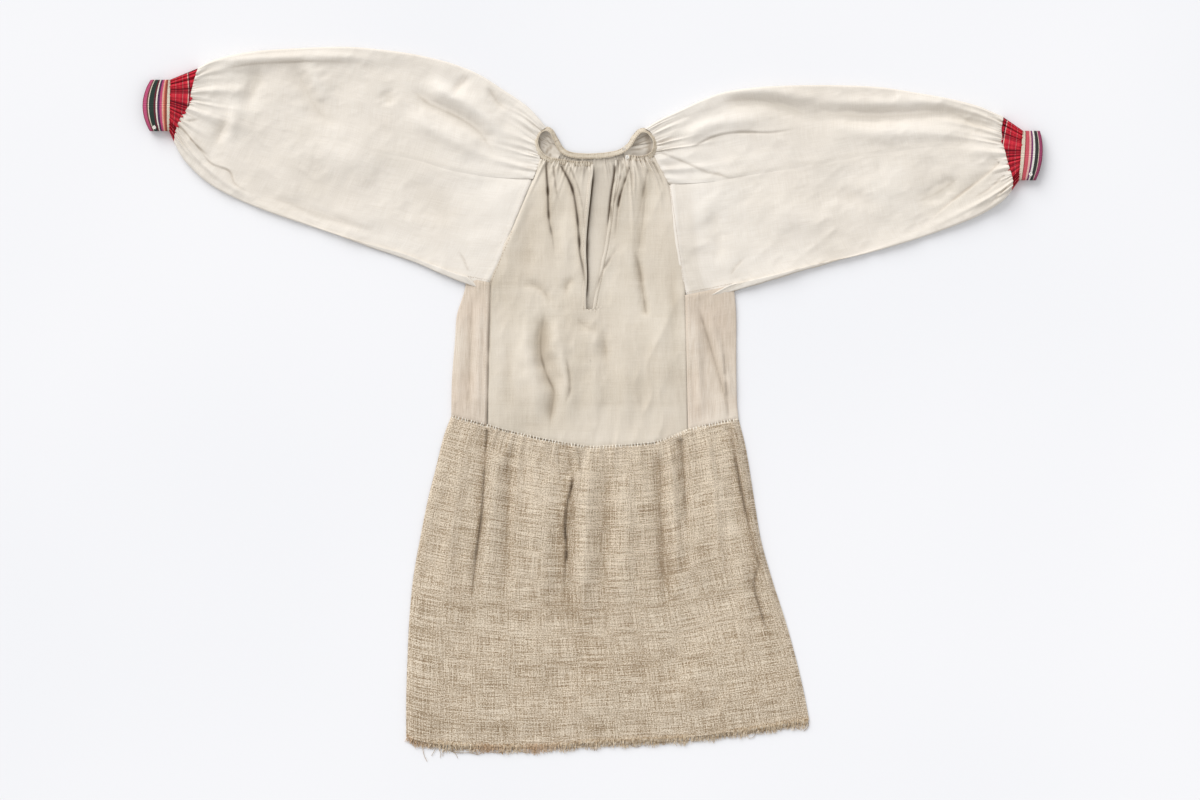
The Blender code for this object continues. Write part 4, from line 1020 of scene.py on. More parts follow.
def skirtFrontPiece():
    size = skirtSize
    u = np.linspace(0, 1, size["columns"])[None, :]
    w = np.linspace(0.9 / size["length"], 1, size["rows"])[:, None]
    spot = skirtShape(u, w)
    spot[..., 0] -= 2.5 * u
    fromSide = np.minimum(u, 1 - u) * size["width"] + 0 * w
    fromHem = (1 - w) * size["length"] + 0 * u
    fromWaist = w * size["length"] + 0 * u
    relief, tint, shade = foldRelief(spot, skirtFolds)
    rise = size["lie"] + relief + crumple(spot, size["crumple"], 101)
    rise = rise + gatherRidges(u + 0 * w, fromWaist, *size["gathers"])
    rise = rise - (size["lie"] - size["hemLie"]) * hill(fromHem, 40)
    rise = softFloor(rise, 2.6)
    rise = rise - 1.0 * hill(fromWaist, 2.0)
    edge = np.clip(fromSide / 16, 0, 1)
    rise = size["edgeLie"] + (rise - size["edgeLie"]) * np.sqrt(np.clip(1 - (1 - edge) ** 2, 0, 1))
    coordinates = np.stack([u * size["width"] + 0 * w, -fromWaist], -1)
    tone = 0.10 * hill(fromWaist, 190) - 0.10 * hill(fromHem, 150)
    item = addGrid("skirtFrontCloth", np.dstack([spot, rise]), coordinates, tint, tone + shade)
    turnOutward(item, size["columns"] - 1)
    finishPiece(item, skirtLinen, "skirt_linen", ("skirt_front",), size["wall"])
    return item


def skirtBackPiece():
    size = skirtSize
    u = np.linspace(0, 1, size["backColumns"])[None, :]
    w = np.linspace(0, 1, size["backRows"])[:, None]
    spot = skirtShape(u, w)
    rise = np.maximum(0, 0.25 + crumple(spot, size["backCrumple"], 107))
    coordinates = np.stack([u * size["width"] + 0 * w, -w * size["length"] + 0 * u], -1)
    item = addGrid("skirtBackCloth", np.dstack([spot, rise]), coordinates, 0 * rise)
    turnOutward(item, size["backColumns"] - 1, -1)
    finishPiece(item, skirtLinen, "skirt_linen", ("skirt_back",), size["wall"])
    return item


frontPieces.append(skirtFrontPiece())
skirtBackPiece()
print("skirt made")


# Neckband
neckPath = ((3, 390.5, 7.8, 0), (-24, 390.5, 7.8, 0), (-47, 393.5, 7.8, 0), (-68, 397.5, 7.6, 10),
            (-82, 407, 7.4, 45), (-89, 425, 7.2, 70), (-84, 441, 7.2, 70), (-75, 447, 7.2, 65),
            (-65, 444, 7.0, 60), (-57, 430, 6.4, 50), (-46, 412, 5.0, 14), (-24, 404, 4.4, 4),
            (15, 404, 4.4, 4), (44, 409, 5.0, 14), (61, 420, 6.4, 50), (70, 434, 6.9, 60),
            (80, 444, 7.2, 65), (92, 443, 7.2, 70), (103, 429, 7.2, 70), (103, 413, 7.4, 60),
            (94, 403, 7.6, 25), (76, 399, 7.8, 0), (57, 401, 7.8, 0))
bandSize = {"width": 9.4, "thick": 2.6, "columns": 460, "around": 20, "wall": 0.6, "stitchStep": 3.6,
            "frontEnds": (0.155, 0.905), "pleatStep": 3.1, "leanShare": 0.62}
bandRows = np.array(neckPath, float)
bandSpans = np.linalg.norm(np.diff(bandRows[:, :2], axis=0), axis=1)
bandLength = bandSpans.sum()
bandShares = np.concatenate([[0], np.cumsum(bandSpans)]) / bandLength
bandMiddle = smoothCurve(bandRows[:, :2])


def bandPoint(us, reach, lift):
    # A point of the band: reach runs across it and lift off its face.
    step = bandMiddle(np.minimum(1, us + 0.003)) - bandMiddle(np.maximum(0, us - 0.003))
    step = step / np.linalg.norm(step, axis=-1)[:, None]
    outward = np.stack([-step[:, 1], step[:, 0]], -1)
    lean = np.radians(np.interp(us, bandShares, bandRows[:, 3])) * bandSize["leanShare"]
    height = np.interp(us, bandShares, bandRows[:, 2])
    flat = (reach * np.cos(lean) + lift * np.sin(lean))[:, None]
    rise = height - reach * np.sin(lean) + lift * np.cos(lean)
    return np.column_stack([bandMiddle(us) + outward * flat, rise])


def neckbandPiece():
    size = bandSize
    us = np.linspace(0, 1, size["columns"])
    along = us * bandLength
    rows = []
    picks = np.random.RandomState(307)
    first, last = size["frontEnds"]
    frontPart = stepUp((first - us) / 0.012) + stepUp((us - last) / 0.012)
    pleats = 0 * us
    for middle in np.arange(1.5, bandLength, size["pleatStep"]):
        tall = picks.uniform(0.5, 1.2)
        pleats += tall * hill(along - middle - picks.uniform(-0.7, 0.7), 0.95)
    ending = 1 - 0.55 * hill(along, 8)
    for i in range(size["around"] + 1):
        angle = turnRound * i / size["around"] + math.pi
        across = math.copysign(abs(math.cos(angle)) ** 0.7, math.cos(angle))
        off = math.copysign(abs(math.sin(angle)) ** 0.6, math.sin(angle))
        wobble = latticeNoise(along, 0 * us + across * 4, 9, 301)
        reach = across * ending * (size["width"] / 2 + 0.45 * wobble + (0.9 * pleats - 0.5) * frontPart)
        lift = off * (size["thick"] / 2 + 0.3 * latticeNoise(along, 0 * us + 30, 5, 303))
        lift = lift + 0.55 * latticeNoise(along, 0 * us + across * 3, 3.2, 305) * abs(off)
        lift = lift + (1.2 * pleats - 0.8) * frontPart * max(0, off)
        rows.append(bandPoint(us, reach, lift))
    rows[-1] = rows[0]
    points = np.array(rows)
    # Painted shade between the pleats on the band's front.
    tints = np.tile(np.clip(0.75 - 1.3 * pleats, 0, 0.75) * frontPart, (len(rows), 1))
    item = addGrid("neckbandCloth", points, clothCoordinates(points, along), tints)
    closeTube(item)
    finishPiece(item, bandLinen, "body_linen", ("neckband",), size["wall"])
    return item


def threadPiece(name, strands, material, slot, nodes=(), sides=5):
    # Many thin threads in one piece. Each strand has the same count of rows: x, y, z, radius.
    strands = np.array(strands, float)
    count, rings = strands.shape[:2]
    middle = strands[..., :3]
    step = np.gradient(middle, axis=1)
    step = step / np.maximum(np.linalg.norm(step, axis=2, keepdims=True), 1e-6)
    upward = np.where(np.abs(step[..., 2:3]) > 0.85, np.array((1.0, 0, 0)), np.array((0, 0, 1.0)))
    first = np.cross(step, upward)
    first = first / np.linalg.norm(first, axis=2, keepdims=True)
    second = np.cross(first, step)
    angles = np.linspace(0, turnRound, sides + 1)
    ring = first[:, :, None] * np.cos(angles)[None, None, :, None]
    ring = ring + second[:, :, None] * np.sin(angles)[None, None, :, None]
    tube = middle[:, :, None] + ring * strands[:, :, None, 3:4]
    tube[:, :, -1] = tube[:, :, 0]
    start = np.repeat(middle[:, :1, None], sides + 1, axis=2)
    end = np.repeat(middle[:, -1:, None], sides + 1, axis=2)
    tall = rings + 2
    points = np.concatenate([start, tube, end], axis=1).reshape(count * tall, sides + 1, 3)
    item = addGrid(name, points, clothCoordinates(points, np.arange(sides + 1) * 1.0))
    splitStrands(item, tall, sides + 1)
    closeTube(item)
    return finishPiece(item, material, slot, nodes)


def splitStrands(item, tall, columns):
    # Takes out the faces between the last row of one strand and the first of the next.
    threads = bmesh.new()
    threads.from_mesh(item.data)
    bridging = [face for face in threads.faces
                if len({vertex.index // columns // tall for vertex in face.verts}) > 1]
    bmesh.ops.delete(threads, geom=bridging, context="FACES_ONLY")
    threads.to_mesh(item.data)
    threads.free()


def plainMaterial(name, look):
    # Thread or yarn with a fine twist along its own length.
    material, tree, shader, cloth, place = startMaterial(name, 0.85, 0.2)
    parts = splitVector(tree, cloth)
    twist = mathNode(tree, "SINE", addUp(tree, times(tree, parts[1], 7000), times(tree, parts[0], 1256)))
    fleck = noiseNode(tree, place, look["fleck"], 2)
    tone = addUp(tree, times(tree, around(tree, fleck), look["contrast"]), times(tree, twist, 0.08), 0.5,
                 clamp=True)
    colour = rampNode(tree, tone, ((0, look["dark"]), (0.5, look["colour"]), (1, look["light"])))
    if "stain" in look:
        share = addUp(tree, times(tree, splitVector(tree, place)[0], 1.4), 0.5)
        amount = times(tree, rampNode(tree, share, look["stainStops"]), fleck)
        colour = mixColour(tree, amount, colour, look["stain"])
    tree.links.new(colour, shader.inputs["Base Color"])
    return material


cleanShade = (0.05, 0.05, 0.05)
stainShade = (0.75, 0.75, 0.75)
threadLook = {"colour": (0.80, 0.75, 0.66), "light": (0.90, 0.87, 0.80), "dark": (0.55, 0.48, 0.38),
              "fleck": 400, "contrast": 1.4}
creamThread = plainMaterial("creamThread", threadLook)
whiteThread = plainMaterial("whiteThread", dict(threadLook, colour=(0.86, 0.84, 0.80)))
brownThread = plainMaterial("brownThread", dict(threadLook, colour=(0.38, 0.28, 0.19),
                                                dark=(0.22, 0.15, 0.09), light=(0.6, 0.5, 0.38)))
fringeLook = {"colour": (0.66, 0.53, 0.37), "light": (0.90, 0.81, 0.66), "dark": (0.30, 0.20, 0.11),
              "fleck": 240, "contrast": 2.4, "stain": (0.50, 0.25, 0.11),
              "stainStops": ((0.07, stainShade), (0.15, cleanShade), (0.22, cleanShade), (0.26, stainShade),
                             (0.32, cleanShade), (0.37, stainShade), (0.44, cleanShade), (0.8, cleanShade))}
fringeThread = plainMaterial("fringeThread", fringeLook)
looseThread = plainMaterial("looseThread", dict(fringeLook, colour=(0.36, 0.28, 0.19),
                                                dark=(0.20, 0.14, 0.08), light=(0.60, 0.50, 0.37)))
bandLinen = clothMaterial("bandLinen", dict(bodyLook, colour=(0.60, 0.53, 0.42), dark=(0.43, 0.355, 0.25),
                                            light=(0.72, 0.65, 0.54), gaps=0.5, weftStreaks=1.8))
neckbandPiece()
print("neckband made")


# Cuffs and red bands
cuffSize = {"height": 16.0, "wall": 0.9, "rows": 38, "around": 121, "ribs": turnRound * 150}
redSize = {"wall": 0.7, "rows": 34, "around": 241, "outerHeight": 12.9, "innerDrop": 0.6}


def ovalShare(angle):
    # A flattened round section: share across from -1 to 1 and share of its height from 0 to 1.
    across = np.sign(np.cos(angle)) * np.abs(np.cos(angle)) ** 0.8
    rise = np.sin(angle)
    upper = 0.5 + 0.5 * np.maximum(rise, 0) ** 0.6
    lower = 0.5 + 0.5 * np.maximum(-1, 1.35 * rise)
    return across, np.where(rise >= 0, upper, lower)


leftCuffSize = {"innerX": -680, "outerX": -712, "middleY": 485, "halfWidth": 41.5, "bulge": 12, "lean": 0.02}
rightCuffSize = {"innerX": 694, "outerX": 722, "middleY": 404, "halfWidth": 40, "bulge": 7, "lean": 0.08}


def cuffSpot(size, angle, along):
    across, rise = ovalShare(angle)
    outward = math.copysign(1, size["outerX"])
    x = size["innerX"] + (size["outerX"] - size["innerX"]) * along
    x = x + outward * size["bulge"] * along * (1 - across ** 2)
    x = x + size["lean"] * size["halfWidth"] * across
    swell = 1 + 0.05 * np.sin(math.pi * along)
    return x, size["middleY"] + size["halfWidth"] * across, cuffSize["height"] * rise * swell


# Ribbon colours from the sleeve to the hand. Columns: end share, colour.
creamYarn = (0.76, 0.68, 0.55)
leftStripes = ((0.10, creamYarn), (0.184, (0.30, 0.07, 0.045)), (0.232, (0.68, 0.17, 0.11)),
               (0.287, (0.80, 0.45, 0.34)), (0.371, (0.56, 0.075, 0.19)), (0.46, (0.10, 0.03, 0.09)),
               (0.515, (0.83, 0.79, 0.70)), (0.588, (0.13, 0.018, 0.03)), (0.765, (0.022, 0.043, 0.034)),
               (0.80, creamYarn), (0.86, (0.20, 0.055, 0.06)), (0.965, (0.54, 0.09, 0.20)),
               (1.0, (0.25, 0.04, 0.08)))
rightStripes = ((0.16, creamYarn), (0.20, (0.34, 0.05, 0.05)), (0.366, (0.62, 0.10, 0.13)),
                (0.458, (0.80, 0.50, 0.46)), (0.55, (0.20, 0.04, 0.14)), (0.643, (0.85, 0.82, 0.76)),
                (0.805, (0.035, 0.04, 0.038)), (0.835, creamYarn), (0.96, (0.34, 0.06, 0.14)),
                (1.0, (0.22, 0.035, 0.08)))


def frayed(tree, place, share, scale, reach):
    # Moves a share a little, so that its stripes have uneven edges.
    return addUp(tree, share, times(tree, around(tree, noiseNode(tree, place, scale, 2)), reach))


def stripeMaterial(name, stripes):
    # Warp-faced ribbon: colours by the share along its first coordinate, fine ribs across it.
    material, tree, shader, cloth, place = startMaterial(name, 0.75, 0.25)
    parts = splitVector(tree, cloth)
    share = frayed(tree, place, parts[0], 900, 0.018)
    starts = [0.0] + [end for end, colour in stripes[:-1]]
    stops = [(start, stripe[1]) for start, stripe in zip(starts, stripes)]
    colour = rampNode(tree, share, stops, "CONSTANT")
    rib = sineOf(tree, parts[1], cuffSize["ribs"])
    cord = sineOf(tree, parts[0], turnRound * 26)
    fleck = noiseNode(tree, place, 1500, 2, 0.7)
    shadow = addUp(tree, times(tree, fleck, 0.7), times(tree, rib, 0.12))
    tone = rampNode(tree, shadow, ((0.1, (0.45, 0.43, 0.42)), (0.4, (1, 1, 1)), (0.75, (1.5, 1.45, 1.4))))
    colour = mixColour(tree, 1.0, colour, tone, "MULTIPLY")
    tree.links.new(colour, shader.inputs["Base Color"])
    addBump(tree, shader, addUp(tree, rib, cord), 0.7, 0.2)
    return material


def cuffPiece(name, node, size, stripes, seed):
    angles = np.linspace(0, turnRound, cuffSize["around"])
    rows = []
    shares = []
    for along in np.linspace(0, 1, cuffSize["rows"]):
        x, y, z = cuffSpot(size, angles, along)
        ridge = 0.25 * latticeNoise(angles * 30, 0 * angles + along * 30, 9, seed)
        cord = 0.16 * math.sin(along * turnRound * 11)
        gather = 0.7 * hill(along, 0.12) * np.sin(angles * 44 + np.sin(angles * 7))
        lift = (ridge + cord + gather) * (z > 2) - 0.5 * (along > 0.985) - 0.4 * hill(along, 0.02)
        rows.append(np.column_stack([x + 0.35 * ridge, y, np.maximum(0, z + lift)]))
        shares.append(np.column_stack([0 * angles + along / mm, angles / turnRound / mm]))
    points = np.array(rows)
    points[:, -1] = points[:, 0]
    item = addGrid(name, points, shares)
    closeTube(item)
    finishPiece(item, stripeMaterial(name + "Ribbon", stripes), "cuff_ribbon", (node,), cuffSize["wall"])
    return item


# Colours of the red band, from the cuff outward.
redYarn = (0.53, 0.022, 0.042)
deepYarn = (0.26, 0.008, 0.018)
brightYarn = (0.62, 0.035, 0.05)
faintYarn = (0.64, 0.20, 0.19)
redStops = ((0.0, deepYarn), (0.03, redYarn), (0.14, brightYarn), (0.22, redYarn), (0.28, faintYarn),
            (0.30, redYarn), (0.42, brightYarn), (0.5, redYarn), (0.575, deepYarn), (0.59, faintYarn),
            (0.615, redYarn), (0.74, brightYarn), (0.80, redYarn), (0.83, (0.80, 0.48, 0.43)),
            (0.875, (0.12, 0.012, 0.02)), (0.92, redYarn))


def redMaterial():
    # Red pattern weave: small diamonds of darker thread, thin light lines and a dark line at its end.
    material, tree, shader, cloth, place = startMaterial("redWeave", 0.85, 0.15)
    parts = splitVector(tree, cloth)
    away = frayed(tree, place, times(tree, parts[0], 1 / 0.036), 1100, 0.03)
    colour = rampNode(tree, away, redStops, "CONSTANT")
    first = sineOf(tree, addUp(tree, parts[0], parts[1]), 2600)
    second = sineOf(tree, mathNode(tree, "SUBTRACT", parts[0], parts[1]), 2600)
    fleck = noiseNode(tree, place, 1300, 2, 0.7)
    shadow = addUp(tree, times(tree, fleck, 0.8), times(tree, times(tree, first, second), 0.16))
    tone = rampNode(tree, shadow, ((0.15, (0.45, 0.4, 0.4)), (0.45, (1, 1, 1)), (0.8, (1.35, 1.6, 1.6))))
    colour = mixColour(tree, 1.0, colour, tone, "MULTIPLY")
    # Painted shade: the crease attribute darkens the red in the pleat grooves.
    creaseShade = times(tree, paintedValue(tree, "crease"), 0.8, clamp=True)
    colour = mixColour(tree, creaseShade, colour, (0.07, 0.004, 0.01))
    tree.links.new(colour, shader.inputs["Base Color"])
    addBump(tree, shader, shadow, 0.6, 0.2)
    return material


redWeave = redMaterial()


def redBandPiece(name, node, size, upperEnd, lowerEnd, seed):
    spots = [row[1:] for row in lowerEnd[:0:-1] + upperEnd]
    edge = cornerCurve([(i / (len(spots) - 1), *spot) for i, spot in enumerate(spots)])
    angles = np.linspace(0, turnRound, redSize["around"])
    across, rise = ovalShare(angles)
    outward = math.copysign(1, size["outerX"])
    innerX, innerY = cuffSpot(size, angles, 0)[:2]
    inner = np.column_stack([innerX + outward * 1.2, innerY])
    share = (across + 1) / 2
    outer = edge(share)
    pleats = gatherRidges(share, 0 * share, *sleeveSize["cuffGathers"])
    outer[:, 0] = outer[:, 0] - outward * (1.6 + 0.75 * pleats)
    fine = np.sin(share * 190 + 3 * np.sin(share * 23)) * 0.5
    reach = np.linalg.norm(outer - inner, axis=1)
    innerHeight = cuffSize["height"] - redSize["innerDrop"]
    seen = np.sin(angles) > 0.1
    rows = []
    tints = []
    coordinates = []
    for v in np.linspace(0, 1, redSize["rows"]):
        height = innerHeight + (redSize["outerHeight"] - innerHeight) * easeIn(v)
        height = height - 0.9 * hill(v, 0.06)
        wave = pleats * (0.6 + 0.55 * v) + fine * (1.5 - 0.8 * v)
        wave = wave + 0.3 * latticeNoise(share * 120, 0 * share + v * 20, 7, seed)
        height = np.maximum(0, height * rise + wave * seen)
        rows.append(np.column_stack([inner + (outer - inner) * v, height]))
        # Painted shade in the grooves between the pleats.
        tints.append(ruffleTint(wave, 0.95, 1) * seen)
        coordinates.append(np.column_stack([v * reach, share * 150]))
    points = np.array(rows)
    points[:, -1] = points[:, 0]
    item = addGrid(name, points, coordinates, tints)
    closeTube(item)
    finishPiece(item, redWeave, "red_band", (node,), redSize["wall"])
    return item


cuffPiece("cuffLeftCloth", "cuff_left", leftCuffSize, leftStripes, 201)
cuffPiece("cuffRightCloth", "cuff_right", rightCuffSize, rightStripes, 205)
redBandPiece("redBandLeftCloth", "red_band_left", leftCuffSize, leftCuffUpper, leftCuffLower, 211)
redBandPiece("redBandRightCloth", "red_band_right", rightCuffSize, rightCuffUpper, rightCuffLower, 213)
print("cuffs and red bands made")


# Threads: hem fringe, stitches, button and knots

def bentStrand(rows, rings, radius, thin=0.6):
    # A round thread through a few points, a little thinner at its end.
    dense = roundPath(rows, 12)
    steps = np.linalg.norm(np.diff(dense, axis=0), axis=1)
    shares = np.concatenate([[0], np.cumsum(steps)]) / steps.sum()
    t = np.linspace(0, 1, rings)
    spots = [np.interp(t, shares, dense[:, k]) for k in range(3)]
    return np.column_stack(spots + [radius * (1 - (1 - thin) * t)])


fringeSize = {"over": 6.5, "step": 1.45, "short": 9.0, "long": 15.0, "radius": 0.58, "rings": 5,
              "hemLength": 662}


def hemFringePiece(name, node, seed, base, rest):
    size = fringeSize
    picks = np.random.RandomState(seed)
    count = int(size["hemLength"] / size["step"])
    strands = []
    for i in range(count):
        share = min(0.998, max(0.002, (i + picks.uniform(-0.4, 0.4)) / count))
        x, y = hemCurve(share)
        sway = picks.normal(0, 1.5) + 1.3 * math.sin(i * 0.37)
        reach = size["short"] + (size["long"] - size["short"]) * picks.uniform(0, 1) ** 1.6
        reach = reach * (0.84 + 0.14 * math.sin(i * 0.19 + seed))
        top = base + picks.uniform(-0.6, 0.6)
        low = rest + picks.uniform(0, 1.1)
        rows = ((x, y + size["over"] * picks.uniform(0.3, 1), top + 0.9),
                (x + sway * 0.25, y - reach * 0.25, top),
                (x + sway * 0.9 + picks.normal(0, 0.6), y - reach * 0.72, (top + low) / 2),
                (x + sway + picks.normal(0, 1.3), y - reach, low))
        strands.append(bentStrand(rows, size["rings"], size["radius"] * picks.uniform(0.7, 1.25), 0.5))
    threadPiece(name, strands, fringeThread, "skirt_linen", (node,))


hemFringePiece("hemFringeFront", "hem_fringe_front", 401, 4.0, 1.2)
hemFringePiece("hemFringeBack", "hem_fringe_back", 407, 1.0, 0.5)
looseSize = {"lengthwise": 30, "rings": 26, "endRadius": 0.55}
looseEnds = (
    ((-271.7, -543, 2.4), (-272.5, -553, 1.6), (-270.1, -566, 1.0), (-265.2, -576, 0.9)),
    ((-249.1, -545, 2.4), (-250, -553, 1.6), (-254, -560, 1.0), (-258.1, -566.8, 0.9)),
    ((-244.2, -546, 2.4), (-246, -556, 1.6), (-243, -563, 1.0), (-244.2, -570.1, 0.9)),
    ((-237.7, -548, 2.4), (-236, -556, 1.6), (-239.4, -562, 1.0), (-239.9, -568, 0.9)),
    ((-224.8, -549, 2.4), (-224, -558, 1.6), (-219, -564, 1.0), (-215.7, -570.6, 0.9)),
    ((-264, -545, 2.4), (-262, -552, 1.4), (-256, -556, 1.0), (-252, -552, 1.2)),
    ((-242.6, -549, 2.4), (-222, -561, 1.2), (-195.7, -562, 1.0), (-182.7, -564.6, 0.9),
     (-171.4, -560.4, 1.2), (-150, -562, 1.0), (-131, -559.4, 1.6)),
    ((-120, -550, 2.4), (-112, -560, 1.2), (-98, -561, 1.0), (-90, -556, 1.2)),
    ((60, -541, 2.4), (64, -549, 1.4), (74, -553, 1.0), (82, -550, 1.1)),
    ((262, -523, 2.4), (266, -531, 1.4), (262, -537, 1.0), (255, -539, 0.9)),
    ((349, -508, 2.4), (352, -516, 1.4), (349, -523, 1.0), (344, -527, 0.9)))


def longHemThreads():
    # Weft threads that came loose along the edge, and the longer hanging ends.
    size = looseSize
    picks = np.random.RandomState(411)
    strands = []
    for i in range(size["lengthwise"]):
        start = picks.uniform(0, 0.92)
        end = min(0.998, start + picks.uniform(0.05, 0.16))
        out = 1.4 + 5.4 * picks.uniform(0, 1) ** 1.3
        rows = []
        for x, y in hemCurve(np.linspace(start, end, 8)):
            rows.append((x, y - out + picks.normal(0, 0.7), 1.7 + picks.uniform(0, 1.3)))
        strands.append(bentStrand(rows, size["rings"], picks.uniform(0.34, 0.5), 0.8))
    strands += [bentStrand(rows, size["rings"], size["endRadius"]) for rows in looseEnds]
    threadPiece("looseHemThreads", strands, looseThread, "skirt_linen")


longHemThreads()
print("hem threads made")


def topFinder(pieces, missing=5.4):
    # Heights of the finished cloth, in millimetres of the tables' frame.
    corners = []
    faces = []
    for piece in pieces:
        first = len(corners)
        mesh = piece.data
        flat = np.empty(len(mesh.vertices) * 3)
        mesh.vertices.foreach_get("co", flat)
        corners.extend(map(tuple, flat.reshape(-1, 3)))
        faces.extend([tuple(first + i for i in face.vertices) for face in mesh.polygons])
    tree = BVHTree.FromPolygons(corners, faces)

    def top(x, y):
        spot = Vector(((x - boxMiddle[0]) * mm, (y - boxMiddle[1]) * mm, 1))
        hit = tree.ray_cast(spot, Vector((0, 0, -1)))[0]
        return hit.z / mm if hit else missing
    return top


topAt = topFinder(frontPieces)
print("cloth heights ready")


def stitchRow(seed, curve, step, length, radius, sink, offset, slant=0.0, first=0.0, last=1.0):
    # Short stitches along a curve, laid on the cloth. Slant turns them across it.
    picks = np.random.RandomState(seed)
    dense = curve(np.linspace(first, last, 400))
    spans = np.linalg.norm(np.diff(dense, axis=0), axis=1)
    shares = np.concatenate([[0], np.cumsum(spans)])

    def at(share):
        return np.array([np.interp(share, shares, dense[:, k]) for k in (0, 1)])

    strands = []
    for i in range(int(shares[-1] / step)):
        middle = (i + 0.5 + picks.uniform(-0.18, 0.18)) * step
        spot = at(middle)
        tangent = at(min(shares[-1], middle + 1)) - at(max(0, middle - 1))
        tangent = tangent / max(1e-6, np.linalg.norm(tangent))
        normal = np.array((-tangent[1], tangent[0]))
        turn = slant + picks.normal(0, 0.12)
        run = tangent * math.cos(turn) + normal * math.sin(turn)
        spot = spot + normal * (offset + picks.normal(0, 0.15))
        half = length / 2 * picks.uniform(0.8, 1.15)
        ends = [spot - run * half, spot, spot + run * half]
        heights = [topAt(*end) for end in ends]
        if max(heights) - min(heights) > 3:
            heights = [sorted(heights)[1]] * 3
        lifts = (-sink, radius * 0.6, -sink)
        rows = [(*end, height + lift) for end, height, lift in zip(ends, heights, lifts)]
        strands.append(bentStrand(rows, 4, radius, 1.0))
    return strands


barSize = {"count": 92, "up": 2.3, "down": 3.2, "cordHeight": 3.6, "cordRadius": 1.9}


def waistBars():
    # The open seam at the waist is held by short bars of thread, over a cord in the gap.
    size = barSize
    picks = np.random.RandomState(421)
    strands = []
    for i in range(size["count"]):
        share = (i + 0.5 + picks.uniform(-0.2, 0.2)) / size["count"]
        spot = waistCurve(share)
        ahead = waistCurve(min(1, share + 0.004)) - waistCurve(max(0, share - 0.004))
        ahead = ahead / np.linalg.norm(ahead)
        normal = np.array((-ahead[1], ahead[0]))
        lean = picks.normal(0, 0.5)
        up = spot + normal * size["up"] + ahead * lean
        low = spot - normal * size["down"] - ahead * lean
        upHeight = topAt(*up) - 0.2
        lowHeight = topAt(*low) - 0.2
        rows = [(*up, upHeight), (*spot, (upHeight + lowHeight) / 2 + 0.35), (*low, lowHeight)]
        strands.append(bentStrand(rows, 4, picks.uniform(0.65, 0.95), 1.0))
    threadPiece("waistSeamBars", strands, creamThread, "skirt_linen")
    rows = [(*spot, size["cordHeight"]) for spot in waistCurve(np.linspace(0.004, 0.996, 60))]
    cord = bentStrand(rows, 240, size["cordRadius"], 1.0)
    threadPiece("waistSeamCord", [cord], bandLinen, "body_linen", (), 8)


waistBars()

# Rows of stitches. Columns: seed, curve, step, length, radius, sink, offset, slant, first, last.
armLeft = cornerCurve(((0, -94, 366), (1, -163, 200)))
armRight = cornerCurve(((0, 126, 358), (0.4, 137, 282), (1, 152, 180)))
lightRows = (
    (431, armLeft, 4.2, 2.2, 0.3, 0.25, -8.6, 0.1),
    (433, armLeft, 3.4, 2.0, 0.28, 0.25, -1.8, 0.7),
    (435, armRight, 4.4, 2.2, 0.3, 0.25, 8.6, 0.1),
    (437, cornerCurve(((0, -163, 198), (1, -168, -30))), 4.4, 2.2, 0.3, 0.25, -5.0),
    (439, cornerCurve(((0, 152, 178), (1, 157, -38))), 4.4, 2.2, 0.3, 0.25, 5.0),
    (441, smoothCurve(leftSeam), 4.6, 2.3, 0.26, 0.25, 6.0, 0.0, 0.08, 0.98),
    (443, smoothCurve(rightSeam), 4.6, 2.3, 0.26, 0.25, -6.0, 0.0, 0.08, 0.98))
darkRows = (
    # The first row lays brown dots in the open waist seam: painted shade for the holes between the bars. The
    # other rows are brown stitches.
    (459, waistCurve, 4.6, 2.0, 0.62, -1.2, 0.3, 0.1),
    (445, armLeft, 5.2, 2.4, 0.34, 0.3, 1.6, 0.2, 0.5, 1.0),
    (447, armRight, 3.6, 2.2, 0.32, 0.3, 1.2, 0.5),
    (449, cornerCurve(slitLeft[:8]), 3.4, 1.7, 0.28, 0.25, -4.6),
    (451, cornerCurve(slitRight[:9]), 3.4, 1.7, 0.28, 0.25, 5.0),
    (453, waistCurve, 5.0, 2.4, 0.32, 0.3, -4.6),
    (455, cornerCurve(((0, -200, 207.2), (1, -163, 200))), 3.0, 1.8, 0.3, 0.25, 2.0),
    (457, cornerCurve(((0, 152, 180), (1, 229, 195.4))), 3.0, 1.8, 0.3, 0.25, 2.0))
for name, rows, material, slot in (("seamStitchesLight", lightRows, creamThread, "sleeve_linen"),
                                   ("darkStitchesAndHoleShade", darkRows, brownThread, "body_linen")):
    threadPiece(name, [strand for row in rows for strand in stitchRow(*row)], material, slot)


def bandStitches():
    strands = []
    count = int(bandLength / bandSize["stitchStep"])
    for reach in (-3.1, 3.1):
        for i in range(count):
            us = (i + np.array((0.2, 0.5, 0.8))) / count
            rows = bandPoint(us, reach, np.array((1.05, 1.5, 1.05)))
            strands.append(bentStrand(rows, 4, 0.3, 1.0))
    threadPiece("bandStitches", strands, brownThread, "body_linen")


bandStitches()


def ringStrand(centre, radius, thread, turns, rings, wobble, tilt=0.0):
    # A coil of thread round a ring.
    rows = []
    for i in range(rings):
        angle = turnRound * i / (rings - 1) * turns
        away = radius + wobble * math.cos(angle * 7.3)
        rows.append((centre[0] + away * math.cos(angle), centre[1] + away * math.sin(angle),
                     centre[2] + wobble * math.sin(angle * 7.3) + tilt * math.cos(angle), thread))
    return rows


